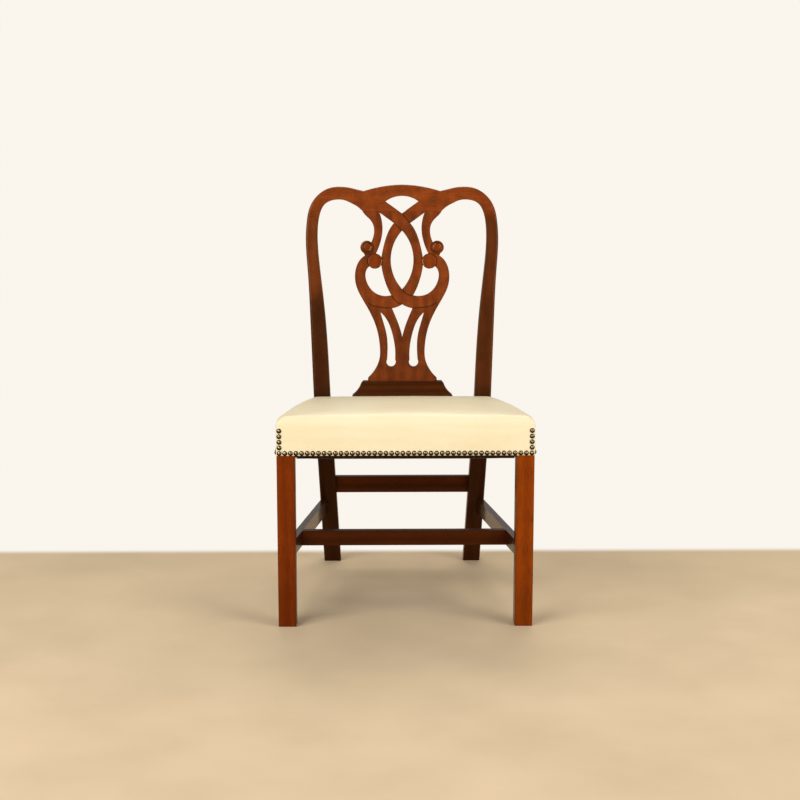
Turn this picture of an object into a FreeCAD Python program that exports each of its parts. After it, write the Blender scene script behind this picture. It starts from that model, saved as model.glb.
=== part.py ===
import FreeCAD, Part
import math
import os

os.makedirs("parts", exist_ok=True)

# Side chair: mahogany frame, pierced splat back, stuffed-over leather seat.
# Millimetres. X runs to the viewer's right, Y from the front to the back, Z up.
# The frame is laid out from the front face of the front legs (Y = 0) and the floor (Z = 0).
# At the end every piece moves so that the origin is under the middle of the chair.

# Seat frame
front_width = 542.0
seat_depth = 459.0
leg_size = 38.0
rail_bottom = 369.0
front_rail_height = 62.0
rear_rail_height = 48.0
rail_thickness = 25.0
rear_rail_thickness = 36.0
rear_rail_setback = 9.0
glue_gap = 0.05
arris = 1.2
foot_chamfer = 1.5

# Back posts, half widths from the chair's middle line
post_outer_at_floor = 192.4
post_outer_at_seat = 212.0
post_inner_at_floor = 151.8
post_inner_at_seat = 172.9
foot_rake = 65.0
back_rake = 10.1
foot_depth = 36.0
post_depth_at_seat = 40.0
post_depth_at_crest = 24.0
crest_top_depth = 19.0
knee_radius = 240.0
post_round = 4.5
post_back_round = 5.0

# Heights above the rear rail where the sawn back is divided into its pieces
post_joint = 421.5
splat_joint = 444.5
crest_middle = 506.2
crest_cusp = 491.0
crest_cusp_half = 91.8
crest_halfway_drop = 0.27
profile_margin = 5.0

# Splat and shoe
splat_thickness = 10.0
shoe_top = 42.0
shoe_top_half = 93.8
shoe_cove_half = 118.0
shoe_foot_half = 120.0
shoe_foot_height = 7.0
shoe_cove_start = 9.5
shoe_top_band = 6.0
shoe_end_bevel = 5.2
shoe_front_bevel = 2.0
shoe_top_depth = 18.0
shoe_hollow = 0.08
shoe_side_hollow = 2.6
shoe_foot_step = 1.2
splat_setback = 4.5
splat_foot_half = 82.9
splat_foot_corner = (82.0, 49.5)
splat_tenon_half = 78.0
splat_tenon_length = 26.0
carved_line = 1.7
carved_depth = 1.2
carved_steps = 24
carved_overrun = 1.8
spiral_step = 30.0
volute_eye = 5.0
volute_sweep = 400.0

# Stretchers
stretcher_thickness = 16.0
stretcher_height = 34.0
side_stretcher_bottom = 128.0
side_stretcher_front_inset = 3.0
side_stretcher_rear_inset = 0.2
medial_stretcher_front = 192.0
rear_stretcher_bottom = 180.0
rear_stretcher_height = 40.0
rear_stretcher_setback = 9.0

# Tenons
tenon_thickness = 8.0
tenon_length = 20.0
tenon_shoulder = 5.0
front_rail_tenon_setback = 6.0
rear_tenon_front = 10.0
rear_tenon_length = 17.0
medial_tenon_length = 9.0
crest_tenon_width = 12.0
crest_tenon_length = 18.0
splat_top_tenon_start = 45.0
splat_top_tenon_width = 40.0
splat_top_tenon_length = 12.0
splat_top_tenon_thickness = 6.0

# Seat covering
leather = 1.5
pad_gap = 0.2
back_gap = 0.3
front_roll_radius = 22.0
front_roll_height = 25.0
front_roll_run = 60.0
front_roll_rise = 9.0
webbing_width = 50.0
webbing_thickness = 1.2
webbing_margin = 6.0
lengthwise_inset = 37.9
webbing_ramp = 12.0
crosswise_first = 90.0
crosswise_last_gap = 69.0
straps_each_way = 4
hessian_thickness = 0.8
dust_cover_thickness = 0.8
dust_cover_margin = 4.0
dust_cover_front_margin = 2.0
dust_cover_sag = 4.0
sag_front_run = 4.0
sag_side_run = 60.0
sag_front_gap = 1.0
sag_front_inset = 66.0
sag_rear_inset = 47.0
sag_back_inset = 19.0

# Nails
nail_head = 10.6
nail_dome = 3.2
nail_shank = 1.3
nail_length = 9.0
nail_pitch = 11.9
nail_line = 9.0
front_row_inset = 6.0
corner_column = 4
side_row_first = 10.5
side_row_last_gap = 7.0
tack_head = 7.0
tack_head_height = 1.0
tack_length = 8.0
tack_inset = 12.0
front_tack_gap = 15.0
side_tack_first = 60.0
side_tack_last_gap = 27.0
rear_tack_gap = 17.9
side_tack_count = 7
rear_tack_count = 6

# Corner blocks
block_leg_reach = 48.0
rear_block_width = 58.0
block_height = 38.0
block_lift = 4.0
block_leg_gap = 2.0
screw_radius = 2.0
screw_head = 4.2
screw_head_height = 2.5
screw_length = 36.0
screw_spacing = 40.0

# Worked out from the sizes above
front_half = front_width / 2
seat_slope = (front_rail_height - rear_rail_height) / seat_depth
rear_rail_top = rail_bottom + rear_rail_height
front_rail_top = rail_bottom + front_rail_height
rake_slope = math.tan(math.radians(back_rake))
crest_top = rear_rail_top + crest_middle
far = 400.0


def vec(x, y, z):
    return FreeCAD.Vector(x, y, z)


def line(a, b):
    return Part.makeLine(a, b)


def arc(a, middle, b):
    return Part.Arc(a, middle, b).toShape()


def spline(points, start=None, end=None):
    curve = Part.BSplineCurve()
    if start is None:
        curve.interpolate(points)
    else:
        curve.interpolate(Points=points, InitialTangent=start, FinalTangent=end)
    return curve.toShape()


def face_of(edges):
    return Part.Face(Part.Wire(Part.__sortEdges__(edges)))


def box(low, high):
    size = [high[i] - low[i] for i in range(3)]
    return Part.makeBox(size[0], size[1], size[2], vec(*low))


def plan_prism(points, bottom, top):
    """A prism standing on a plan outline of (x, y) points."""
    corners = [vec(x, y, bottom) for x, y in points]
    outline = Part.makePolygon(corners + corners[:1])
    return Part.Face(outline).extrude(vec(0, 0, top - bottom))


def front_prism(edges):
    """A prism through the whole chair, front to back, from edges in the XZ plane at Y = -far."""
    return face_of(edges).extrude(vec(0, 4 * far, 0))


def at_front(x, z):
    return vec(x, -far, z)


def rounded_path(corners, place):
    """Edges of a closed outline whose corners (a, b, radius) are rounded by tangent arcs."""
    spots = [place(a, b) for a, b, radius in corners]
    edges = []
    ends = []
    for i, corner in enumerate(corners):
        here = spots[i]
        before = (spots[i - 1] - here).normalize()
        after = (spots[(i + 1) % len(spots)] - here).normalize()
        radius = corner[2]
        if radius == 0:
            ends.append((here, here))
            continue
        half = before.getAngle(after) / 2
        reach = radius / math.tan(half)
        inward = (before + after).normalize()
        middle = here + inward * (radius / math.sin(half) - radius)
        edges.append(arc(here + before * reach, middle, here + after * reach))
        ends.append((here + before * reach, here + after * reach))
    for i in range(len(ends)):
        start = ends[i - 1][1]
        stop = ends[i][0]
        if (stop - start).Length > 1e-6:
            edges.append(line(start, stop))
    return edges


def side_prism(corners):
    """A prism through the whole width from side-view corners (y, z, radius)."""
    edges = rounded_path(corners, lambda y, z: vec(-far, y, z))
    return face_of(edges).extrude(vec(2 * far, 0, 0))


def mirrored(shape):
    return shape.mirror(vec(0, 0, 0), vec(1, 0, 0))


def rail_line(z_lift, y):
    """Height of the sloping plane of the seat frame's top, lifted by z_lift."""
    return front_rail_top - seat_slope * y + z_lift


def above_frame(lift):
    """All the space above the sloping top of the seat frame, lifted by lift."""
    near = -far
    away = seat_depth + far
    top = front_rail_top + 2 * far
    corners = [(near, rail_line(lift, near), 0), (away, rail_line(lift, away), 0),
               (away, top, 0), (near, top, 0)]
    return side_prism(corners)


# Half widths of the outside of the rails in plan: parallel along the leg, then tapering.
plan_taper = (front_half - post_outer_at_seat) / (seat_depth - leg_size)


def outer_half(y):
    if y <= leg_size:
        return front_half
    return front_half - plan_taper * (y - leg_size)


taper_angle = math.atan(plan_taper)
rail_thickness_across = rail_thickness / math.cos(taper_angle)


def front_of_foot(z):
    """Front face of the rear leg below the rails, at height z."""
    return seat_depth + foot_rake * (rail_bottom - z) / rail_bottom


def leg_outer(z):
    return post_outer_at_floor + (post_outer_at_seat - post_outer_at_floor) * z / rear_rail_top


def leg_inner(z):
    return post_inner_at_floor + (post_inner_at_seat - post_inner_at_floor) * z / rear_rail_top


# The sawn back: one outline for post, ear and crest in front view, cut to the raked side view.
# Points are (half width, height above the rear rail).
post_joint_outer = 228.3
post_joint_inner = 200.6
outer_sweep = [(post_outer_at_seat, 0), (216.9, 111), (220.9, 205), (226.2, 300),
               (230.9, 385), (post_joint_outer, post_joint), (223.5, 446.5), (215.0, 465.5),
               (203.0, 480.5), (187.0, 492.6), (168.0, 499.6), (148.0, 501.2), (126.0, 499.0),
               (108.0, 494.6), (crest_cusp_half, crest_cusp)]
inner_sweep = [(post_inner_at_seat, 0), (178.7, 111), (185.9, 205), (196.6, 300), (203.0, 385),
               (post_joint_inner, post_joint), (195.8, 441.7), (185.5, 459.5), (172.6, 467.6),
               (156.0, 470.9), (139.5, 469.8), (121.5, 462.3), (105.5, 453.2), (95.5, splat_joint)]


def back_point(spot):
    half, height = spot
    return at_front(half, rear_rail_top + height)


outer_points = [back_point(spot) for spot in outer_sweep]
inner_points = [back_point(spot) for spot in inner_sweep]
outer_foot = at_front(post_outer_at_floor, 0)
inner_foot = at_front(post_inner_at_floor, 0)
cusp = back_point((crest_cusp_half, crest_cusp))
notch = inner_points[-1]
outer_start = (outer_points[0] - outer_foot).normalize()
inner_start = (inner_points[0] - inner_foot).normalize()
outer_end = (outer_points[-1] - outer_points[-2]).normalize()
inner_end = (inner_points[-1] - inner_points[-2]).normalize()
arc_middle = back_point((0, crest_middle))
halfway_drop = crest_halfway_drop * (crest_middle - crest_cusp)
arc_near = back_point((crest_cusp_half / 2, crest_middle - halfway_drop))

half_back_edges = [
    line(inner_foot, outer_foot),
    line(outer_foot, outer_points[0]),
    spline(outer_points, outer_start, outer_end),
    arc(cusp, arc_near, arc_middle),
    line(arc_middle, at_front(0, rear_rail_top + splat_joint)),
    line(at_front(0, rear_rail_top + splat_joint), notch),
    spline(inner_points, inner_start, inner_end),
    line(inner_points[0], inner_foot),
]

profile_front = seat_depth + rake_slope * (crest_middle + profile_margin)
joint_front = seat_depth + rake_slope * post_joint
back_profile = [
    (seat_depth + foot_rake, 0, 0),
    (seat_depth, rail_bottom, knee_radius),
    (seat_depth, rear_rail_top, knee_radius),
    (profile_front, crest_top + profile_margin, 0),
    (profile_front + crest_top_depth, crest_top + profile_margin, 0),
    (joint_front + post_depth_at_crest, rear_rail_top + post_joint, 0),
    (seat_depth + post_depth_at_seat, rear_rail_top, knee_radius),
    (seat_depth + post_depth_at_seat, rail_bottom, knee_radius),
    (seat_depth + foot_rake + foot_depth, 0, 0),
]

back_blank = front_prism(half_back_edges).common(side_prism(back_profile))
joint_height = rear_rail_top + post_joint
splat_top = rear_rail_top + splat_joint
post_blank = back_blank.common(box((0, 0, -1), (far, 3 * far, joint_height)))
crest_half = back_blank.common(box((-1, 0, joint_height), (far, 3 * far, crest_top + far)))


# Sheets through the faces of the blank, to find the edges where two of them meet
profile_edges = rounded_path(back_profile, lambda y, z: vec(-far, y, z))
profile_sheets = [edge.extrude(vec(2 * far, 0, 0)) for edge in profile_edges]


def sheets_where(test):
    """The profile's sheets whose middle passes a test of its distance behind the front line."""
    return Part.makeCompound([sheet for sheet in profile_sheets if test(sheet.CenterOfMass)])


def depth_behind(spot):
    """How far a point lies behind the front line of the raked back."""
    if spot.z < rail_bottom:
        return spot.y - front_of_foot(spot.z)
    return spot.y - seat_depth - rake_slope * max(0, spot.z - rear_rail_top)


above_floor = 1.0
middle_depth = crest_top_depth / 2
front_sheets = sheets_where(lambda spot: depth_behind(spot) < middle_depth and spot.z > above_floor)
back_sheets = sheets_where(lambda spot: depth_behind(spot) > middle_depth
                           and above_floor < spot.z < crest_top)
outline_sheets = [edge.extrude(vec(0, 4 * far, 0)) for edge in half_back_edges]
outer_sheets = Part.makeCompound(outline_sheets[1:3])
arc_sheet = outline_sheets[3]
inner_sheets = Part.makeCompound(outline_sheets[6:8])


touching = 0.02


def edges_between(shape, first, second):
    """Edges of a shape that lie on both sheets."""
    found = []
    for edge in shape.Edges:
        spot = Part.Vertex(edge.valueAt((edge.FirstParameter + edge.LastParameter) / 2))
        if max(spot.distToShape(first)[0], spot.distToShape(second)[0]) < touching:
            found.append(edge)
    return found


def rounded(shape, radius, first, second):
    return shape.makeFillet(radius, edges_between(shape, first, second))


def rounded_sweeps(shape):
    """Outer edges well rounded in front, inner edges only eased, both rounded behind."""
    shape = rounded(shape, post_round, front_sheets, outer_sheets)
    shape = rounded(shape, arris, front_sheets, inner_sheets)
    shape = rounded(shape, post_back_round, back_sheets, outer_sheets)
    return rounded(shape, post_back_round, back_sheets, inner_sheets)


# Back post: rear leg and upright in one length of mahogany, bandsawn from both sides.
post = rounded_sweeps(post_blank)


# Openings in the back, as front-view outlines of (half width, height above the rear rail)
arch_corner = (40.0, 466.2)
arch_top = (0, 479.6)
arch_point = (0, 438.0)
lens_tip_top = (0, 397.4)
lens_side = (27.3, 328.0)
lens_tip_bottom = (0, 258.5)
volute_centre = (84.6, 358.0)
volute_radius = 15.5
volute_joins = 132.5
volute_leaves = -62.0
lobe_centre = (65.3, 325.3)
lobe_radius = 17.8
lobe_meets_strap = 149.9
lobe_meets_stem = 98.0
lobe_meets_scroll = -43.0
slim_top = (54.3, 440.4)
slim_corner = (19.3, 415.1)
kidney_corner = (25.8, 244.3)
stem_peak = (0, 223.1)
stem_corner = (24.8, 213.7)
stem_point = (0, 145.3)
slot_tip = (52.3, 204.5)
slot_left = (36.6, 92.3)
slot_bottom = (27.0, 75.6)
slot_right = (17.2, 92.3)


def on_circle(centre, radius, degrees):
    turn = math.radians(degrees)
    return (centre[0] + radius * math.cos(turn), centre[1] + radius * math.sin(turn))


def flipped(spot):
    return (-spot[0], spot[1])


def path(*spots):
    return spline([back_point(spot) for spot in spots])


def bow(first, middle, last):
    return arc(back_point(first), back_point(middle), back_point(last))


def straight(first, last):
    return line(back_point(first), back_point(last))


def lobe_at(degrees):
    return on_circle(lobe_centre, lobe_radius, degrees)


arch_prism = front_prism([bow(flipped(arch_corner), arch_top, arch_corner),
                          straight(arch_corner, arch_point),
                          straight(arch_point, flipped(arch_corner))])

lens_prism = front_prism([bow(lens_tip_top, lens_side, lens_tip_bottom),
                          bow(lens_tip_bottom, flipped(lens_side), lens_tip_top)])

# Slim opening between the outer strap and the oval strap, closed below by the round lobe
slim_prism = front_prism([
    straight(slim_top, slim_corner),
    path(slim_corner, (32.6, 395.5), (40.2, 375.5), (45.8, 354.5), lobe_at(lobe_meets_strap)),
    bow(lobe_at(lobe_meets_strap), lobe_at((lobe_meets_strap + lobe_meets_stem) / 2),
        lobe_at(lobe_meets_stem)),
    path(lobe_at(lobe_meets_stem), (57.2, 355.2), (50.2, 376.2), (46.8, 399.8), (48.2, 419.0),
         slim_top)])

# Kidney opening inside the lower scroll
kidney_prism = front_prism([
    path(lobe_at(lobe_meets_scroll), (84.6, 306.3), (88.1, 292.0), (86.3, 280.0), (79.3, 264.3),
         (66.0, 250.4), (49.2, 243.2), kidney_corner),
    path(kidney_corner, (33.6, 258.5), (41.8, 279.8), (47.6, 301.3),
         lobe_at(-lobe_meets_strap)),
    bow(lobe_at(-lobe_meets_strap), lobe_at(-90), lobe_at(lobe_meets_scroll))])

# Dart between the two stem straps, under the crossing
dart_prism = front_prism([
    bow(stem_corner, (10.0, 217.9), stem_peak),
    bow(flipped(stem_corner), (-10.0, 217.9), stem_peak),
    path(stem_corner, (13.1, 186.6), (6.0, 167.6), stem_point),
    path(flipped(stem_corner), (-13.1, 186.6), (-6.0, 167.6), stem_point)])

# Long slot beside each stem strap, pointed above and round below
slot_prism = front_prism([
    path(slot_tip, (44.3, 177.2), (37.2, 149.0), (35.2, 120.0), slot_left),
    bow(slot_left, slot_bottom, slot_right),
    path(slot_right, (17.7, 120.5), (24.0, 154.0), (36.5, 186.0), slot_tip)])

# Crest rail: two ears and a raised middle, with the top of the splat's first opening.
ear = crest_half.common(box((crest_cusp_half, 0, 0), (far, 3 * far, crest_top + far)))
ear = rounded_sweeps(ear)
crest_middle_half = crest_half.common(box((-1, 0, 0), (crest_cusp_half, 3 * far, crest_top + far)))
crest_centre = crest_middle_half.fuse(mirrored(crest_middle_half)).removeSplitter()
arc_sheets = Part.makeCompound([arc_sheet, mirrored(arc_sheet)])
crest_centre = rounded(crest_centre, post_round, front_sheets, arc_sheets)
crest_centre = rounded(crest_centre, post_back_round, back_sheets, arc_sheets)
crest = crest_centre.fuse([ear, mirrored(ear)])
crest = crest.cut(arch_prism)

# Post and crest join level, with a tenon of the post up into the ear
ear_middle = (post_joint_outer + post_joint_inner) / 2
ear_depth_middle = joint_front + (post_depth_at_crest + rake_slope * crest_tenon_length) / 2


def crest_tenon(growth):
    """Tenon from the top of the right post, or its mortise when grown."""
    half = crest_tenon_width / 2 + growth
    depth = tenon_thickness / 2 + growth
    return box((ear_middle - half, ear_depth_middle - depth, joint_height - growth),
               (ear_middle + half, ear_depth_middle + depth,
                joint_height + crest_tenon_length + growth))


crest = crest.cut(crest_tenon(glue_gap)).cut(mirrored(crest_tenon(glue_gap)))
post = post.fuse(crest_tenon(0))


# Splat: one thin pierced board. Its front is flush with the crest and stands back at the shoe.
splat_front_low = seat_depth + rake_slope * shoe_top + splat_setback
splat_front_high = seat_depth + rake_slope * splat_joint
splat_slope = (splat_front_high - splat_front_low) / (splat_joint - shoe_top)


def splat_layer(front, depth):
    """A raked layer through the splat, from a distance behind its front face."""
    low = -far
    high = 2 * far
    near_low = splat_front_low + front + splat_slope * (low - shoe_top)
    near_high = splat_front_low + front + splat_slope * (high - shoe_top)
    corners = [(near_low, rear_rail_top + low, 0), (near_low + depth, rear_rail_top + low, 0),
               (near_high + depth, rear_rail_top + high, 0), (near_high, rear_rail_top + high, 0)]
    return side_prism(corners)


volute_start = on_circle(volute_centre, volute_radius, volute_joins)
volute_end = on_circle(volute_centre, volute_radius, volute_leaves)
volute_outer = on_circle(volute_centre, volute_radius, (volute_joins + volute_leaves) / 2)
scroll_notch = (89.3, 338.0)
splat_shoulder = (splat_foot_half, shoe_top)
strap_edge = [(95.5, splat_joint), (85.6, 432.0), (75.6, 422.2), (69.6, 412.0), (67.1, 400.5),
              (68.0, 387.0), volute_start]
scroll_edge = [scroll_notch, (102.0, 327.0), (110.5, 309.5), (113.2, 290.5), (110.6, 269.0),
               (99.5, 243.0), (83.2, 215.0), (68.9, 186.7), (59.3, 158.3), (53.8, 122.0),
               (54.8, 94.0), (62.6, 73.5), (71.3, 60.6), splat_foot_corner]
splat_edges = [straight(flipped(strap_edge[0]), strap_edge[0]),
               straight(flipped(splat_shoulder), splat_shoulder)]
for side in (1, -1):
    strap_side = [(side * half, height) for half, height in strap_edge]
    scroll_side = [(side * half, height) for half, height in scroll_edge]
    splat_edges.append(path(*strap_side))
    splat_edges.append(bow(strap_side[-1], (side * volute_outer[0], volute_outer[1]),
                           (side * volute_end[0], volute_end[1])))
    splat_edges.append(straight((side * volute_end[0], volute_end[1]), scroll_side[0]))
    splat_edges.append(path(*scroll_side))
    splat_edges.append(straight(scroll_side[-1], (side * splat_foot_half, shoe_top)))
splat_board = front_prism(splat_edges)
for hole in (slim_prism, kidney_prism, slot_prism):
    splat_board = splat_board.cut(hole)
    splat_board = splat_board.cut(mirrored(hole))
for hole in (arch_prism, lens_prism, dart_prism):
    splat_board = splat_board.cut(hole)
splat = splat_board.common(splat_layer(0, splat_thickness))


def splat_tenon(growth):
    """Foot of the splat inside the shoe."""
    low = rear_rail_top + shoe_top - splat_tenon_length - growth
    edges = rounded_path([(-splat_tenon_half - growth, low, 0), (splat_tenon_half + growth, low, 0),
                          (splat_tenon_half + growth, rear_rail_top + shoe_top + growth, 0),
                          (-splat_tenon_half - growth, rear_rail_top + shoe_top + growth, 0)],
                         at_front)
    return front_prism(edges).common(splat_layer(-growth, splat_thickness + 2 * growth))


def splat_top_tenon(growth):
    """Right one of the two tenons of the splat in the crest."""
    near = splat_top_tenon_start - growth
    away = splat_top_tenon_start + splat_top_tenon_width + growth
    low = splat_top - growth
    high = splat_top + splat_top_tenon_length + growth
    edges = rounded_path([(near, low, 0), (away, low, 0), (away, high, 0), (near, high, 0)],
                         at_front)
    cheek = (splat_thickness - splat_top_tenon_thickness) / 2
    return front_prism(edges).common(
        splat_layer(cheek - growth, splat_top_tenon_thickness + 2 * growth))


crest = crest.cut(splat_top_tenon(glue_gap)).cut(mirrored(splat_top_tenon(glue_gap)))


# Carved lines on the splat's front show which strap passes over, and turn inside the volutes
def carved(spots):
    """A shallow line of even width along a smooth path in the front view, run out at its ends."""
    middle = path(*spots)
    run = middle.LastParameter - middle.FirstParameter
    sides = [[], []]
    for i in range(carved_steps + 1):
        along = middle.FirstParameter + run * i / carved_steps
        heading = middle.tangentAt(along)
        spot = middle.valueAt(along)
        if i == 0:
            spot = spot - heading * carved_overrun
        if i == carved_steps:
            spot = spot + heading * carved_overrun
        sides[0].append(spot + vec(-heading.z, 0, heading.x) * (carved_line / 2))
        sides[1].append(spot - vec(-heading.z, 0, heading.x) * (carved_line / 2))
    prism = front_prism([spline(sides[0]), spline(sides[1]), line(sides[0][0], sides[1][0]),
                         line(sides[0][-1], sides[1][-1])])
    return prism.common(splat_layer(-splat_thickness, splat_thickness + carved_depth))


def turned(centre, radii, angles):
    """Points of a spiral whose radius changes evenly from the first angle to the last."""
    count = round(abs(angles[1] - angles[0]) / spiral_step)
    spots = []
    for i in range(count + 1):
        share = i / count
        spots.append(on_circle(centre, radii[0] + (radii[1] - radii[0]) * share,
                               angles[0] + (angles[1] - angles[0]) * share))
    return spots


volute_edge = turned(volute_centre, (volute_radius, volute_radius),
                     (volute_joins, 360 + volute_leaves))
volute_turn = turned(volute_centre, (volute_radius, volute_eye),
                     (360 + volute_leaves, 360 + volute_leaves + volute_sweep))
lobe_outer_edge = turned(lobe_centre, (lobe_radius, lobe_radius),
                         (lobe_meets_stem, lobe_meets_scroll))
lobe_strap_edge = turned(lobe_centre, (lobe_radius, lobe_radius),
                         (lobe_meets_strap, 360 - lobe_meets_strap))
stem_top_edge = [stem_corner, (47.4, 215.6), (64.5, 218.4), (80.0, 225.0)]
paired_lines = [carved(spots) for spots in (volute_edge + volute_turn[1:], lobe_outer_edge,
                                            lobe_strap_edge, stem_top_edge)]
crossing_lines = [
    carved([flipped(kidney_corner), (-17.0, 232.8), (-8.0, 225.6), stem_peak]),
    carved([lens_tip_bottom, (10.8, 247.4), kidney_corner]),
    carved([arch_point, (9.2, 427.0), slim_corner]),
    carved([flipped(slim_corner), (-9.5, 406.6), lens_tip_top])]
splat = splat.cut(paired_lines + [mirrored(shape) for shape in paired_lines] + crossing_lines)
splat = splat.fuse([splat_tenon(0), splat_top_tenon(0), mirrored(splat_top_tenon(0))])


# Shoe on the rear rail: coved and bevelled above in front and at both ends, with a raked slot
# for the splat.
def cove(low, high, place):
    """Hollow arc from the lower point to the upper one, bowed in towards the shoe."""
    middle = ((low[0] + high[0]) / 2, (low[1] + high[1]) / 2)
    across = (high[1] - low[1], low[0] - high[0])
    hollow = (middle[0] - shoe_hollow * across[0], middle[1] - shoe_hollow * across[1])
    return arc(place(low), place(hollow), place(high))


cove_low = (shoe_cove_half, shoe_cove_start)
cove_high = (shoe_top_half + shoe_end_bevel, shoe_top - shoe_top_band)
shoe_right = [straight((shoe_foot_half, 0), (shoe_foot_half, shoe_foot_height)),
              straight((shoe_foot_half, shoe_foot_height), cove_low),
              cove(cove_low, cove_high, back_point),
              straight(cove_high, (shoe_top_half, shoe_top))]
shoe_left = [mirrored(edge) for edge in shoe_right]
shoe_front_view = front_prism(
    shoe_right + shoe_left
    + [straight((-shoe_foot_half, 0), (shoe_foot_half, 0)),
       straight((-shoe_top_half, shoe_top), (shoe_top_half, shoe_top))])

shoe_back = seat_depth - rear_rail_setback + rear_rail_thickness
shoe_top_front = shoe_back - shoe_top_depth
shoe_cove_front = seat_depth + shoe_foot_step


def side_point(spot):
    return vec(-far, spot[0], rear_rail_top + spot[1])


side_cove_low = (shoe_cove_front, shoe_cove_start)
side_cove_high = (shoe_top_front - shoe_front_bevel, shoe_top - shoe_top_band)
shoe_side_spots = [side_cove_high, (shoe_top_front, shoe_top), (shoe_back, shoe_top),
                   (shoe_back, 0), (seat_depth, 0), (seat_depth, shoe_foot_height), side_cove_low]
shoe_side_edges = [line(side_point(a), side_point(b))
                   for a, b in zip(shoe_side_spots, shoe_side_spots[1:])]
side_hollow = ((side_cove_low[0] + side_cove_high[0]) / 2 + shoe_side_hollow,
               (side_cove_low[1] + side_cove_high[1]) / 2)
shoe_side_edges.append(arc(side_point(side_cove_low), side_point(side_hollow),
                           side_point(side_cove_high)))
shoe_side_view = face_of(shoe_side_edges).extrude(vec(2 * far, 0, 0))
shoe = shoe_front_view.common(shoe_side_view).cut(splat_tenon(glue_gap))


# Seat frame and stretchers. Tenons are named by the piece they belong to.
leg_inner_face = front_half - leg_size
behind_back = side_prism(back_profile)


def tenon(middle_x, middle_y, half_x, half_y, bottom, top, growth):
    """Upright tenon about a middle point, with shoulders above and below."""
    return box((middle_x - half_x - growth, middle_y - half_y - growth,
                bottom + tenon_shoulder - growth),
               (middle_x + half_x + growth, middle_y + half_y + growth,
                top - tenon_shoulder + growth))


def front_rail_tenon(growth):
    return tenon(leg_inner_face, front_rail_tenon_setback + tenon_thickness / 2, tenon_length,
                 tenon_thickness / 2, rail_bottom, rear_rail_top, growth)


def side_rail_front_tenon(growth):
    middle = front_half - rail_thickness_across / 2
    return tenon(middle, leg_size, tenon_thickness / 2, tenon_length, rail_bottom, rear_rail_top,
                 growth)


def side_rail_rear_tenon(growth):
    middle = post_outer_at_seat - rail_thickness_across / 2
    return tenon(middle, seat_depth, tenon_thickness / 2, tenon_length, rail_bottom,
                 rear_rail_top, growth)


def rear_rail_tenon(growth):
    middle = seat_depth + rear_tenon_front + tenon_thickness / 2
    return tenon(leg_inner(rail_bottom), middle, rear_tenon_length, tenon_thickness / 2,
                 rail_bottom, rear_rail_top, growth)


side_stretcher_top = side_stretcher_bottom + stretcher_height
side_stretcher_middle = (side_stretcher_bottom + side_stretcher_top) / 2
stretcher_rear = front_of_foot(side_stretcher_middle)
stretcher_front_half = front_half - side_stretcher_front_inset
stretcher_rear_half = leg_outer(side_stretcher_middle) - side_stretcher_rear_inset
stretcher_taper = (stretcher_front_half - stretcher_rear_half) / (stretcher_rear - leg_size)
stretcher_across = stretcher_thickness / math.cos(math.atan(stretcher_taper))


def stretcher_outer(y):
    return stretcher_front_half - stretcher_taper * (y - leg_size)


def stretcher_tenon(y, growth):
    """Tenon at either end of the right side stretcher."""
    middle = stretcher_outer(y) - stretcher_across / 2
    return tenon(middle, y, tenon_thickness / 2, tenon_length, side_stretcher_bottom,
                 side_stretcher_top, growth)


medial_middle = medial_stretcher_front + stretcher_thickness / 2


def medial_tenon(growth):
    return tenon(stretcher_outer(medial_middle) - stretcher_across, medial_middle,
                 medial_tenon_length, tenon_thickness / 2, side_stretcher_bottom,
                 side_stretcher_top, growth)


rear_stretcher_top = rear_stretcher_bottom + rear_stretcher_height
rear_stretcher_front = (front_of_foot((rear_stretcher_bottom + rear_stretcher_top) / 2)
                        + rear_stretcher_setback)


def rear_stretcher_tenon(growth):
    return tenon(leg_inner(rear_stretcher_bottom), rear_stretcher_front + stretcher_thickness / 2,
                 rear_tenon_length, tenon_thickness / 2, rear_stretcher_bottom,
                 rear_stretcher_top, growth)


# Right front leg, square and straight
leg_square = box((leg_inner_face, 0, 0), (front_half, leg_size, front_rail_top))
foot_edges = [edge for edge in leg_square.Edges if edge.BoundBox.ZMax < foot_chamfer]
front_leg = leg_square.makeChamfer(foot_chamfer, foot_edges)
upright_edges = [edge for edge in front_leg.Edges if edge.BoundBox.ZLength > foot_chamfer / 2]
front_leg = front_leg.makeFillet(arris, upright_edges)
front_leg = front_leg.cut(above_frame(0))
front_leg = front_leg.cut(front_rail_tenon(glue_gap)).cut(side_rail_front_tenon(glue_gap))
front_leg = front_leg.cut(stretcher_tenon(leg_size, glue_gap))

# Rails
front_rail = box((-leg_inner_face, 0, rail_bottom), (leg_inner_face, rail_thickness, front_rail_top))
front_rail = front_rail.fuse([front_rail_tenon(0), mirrored(front_rail_tenon(0))])
front_rail = front_rail.cut(above_frame(0))

rail_end = seat_depth + rail_thickness
side_rail = plan_prism([(front_half, leg_size), (outer_half(rail_end), rail_end),
                        (outer_half(rail_end) - rail_thickness_across, rail_end),
                        (front_half - rail_thickness_across, leg_size)],
                       rail_bottom, front_rail_top)
side_rail = side_rail.cut(behind_back)
side_rail = side_rail.fuse([side_rail_front_tenon(0), side_rail_rear_tenon(0)])
side_rail = side_rail.cut(above_frame(0))

rear_rail = box((-post_inner_at_seat, seat_depth - rear_rail_setback, rail_bottom),
                (post_inner_at_seat, shoe_back, rear_rail_top))
between_posts = front_prism([straight((-post_inner_at_seat, 0), (post_inner_at_seat, 0)),
                             line(inner_points[0], inner_foot),
                             line(inner_foot, mirrored(Part.Vertex(inner_foot)).Point),
                             mirrored(line(inner_foot, inner_points[0]))])
rear_rail = rear_rail.common(between_posts)
rear_rail = rear_rail.fuse([rear_rail_tenon(0), mirrored(rear_rail_tenon(0))])

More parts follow.
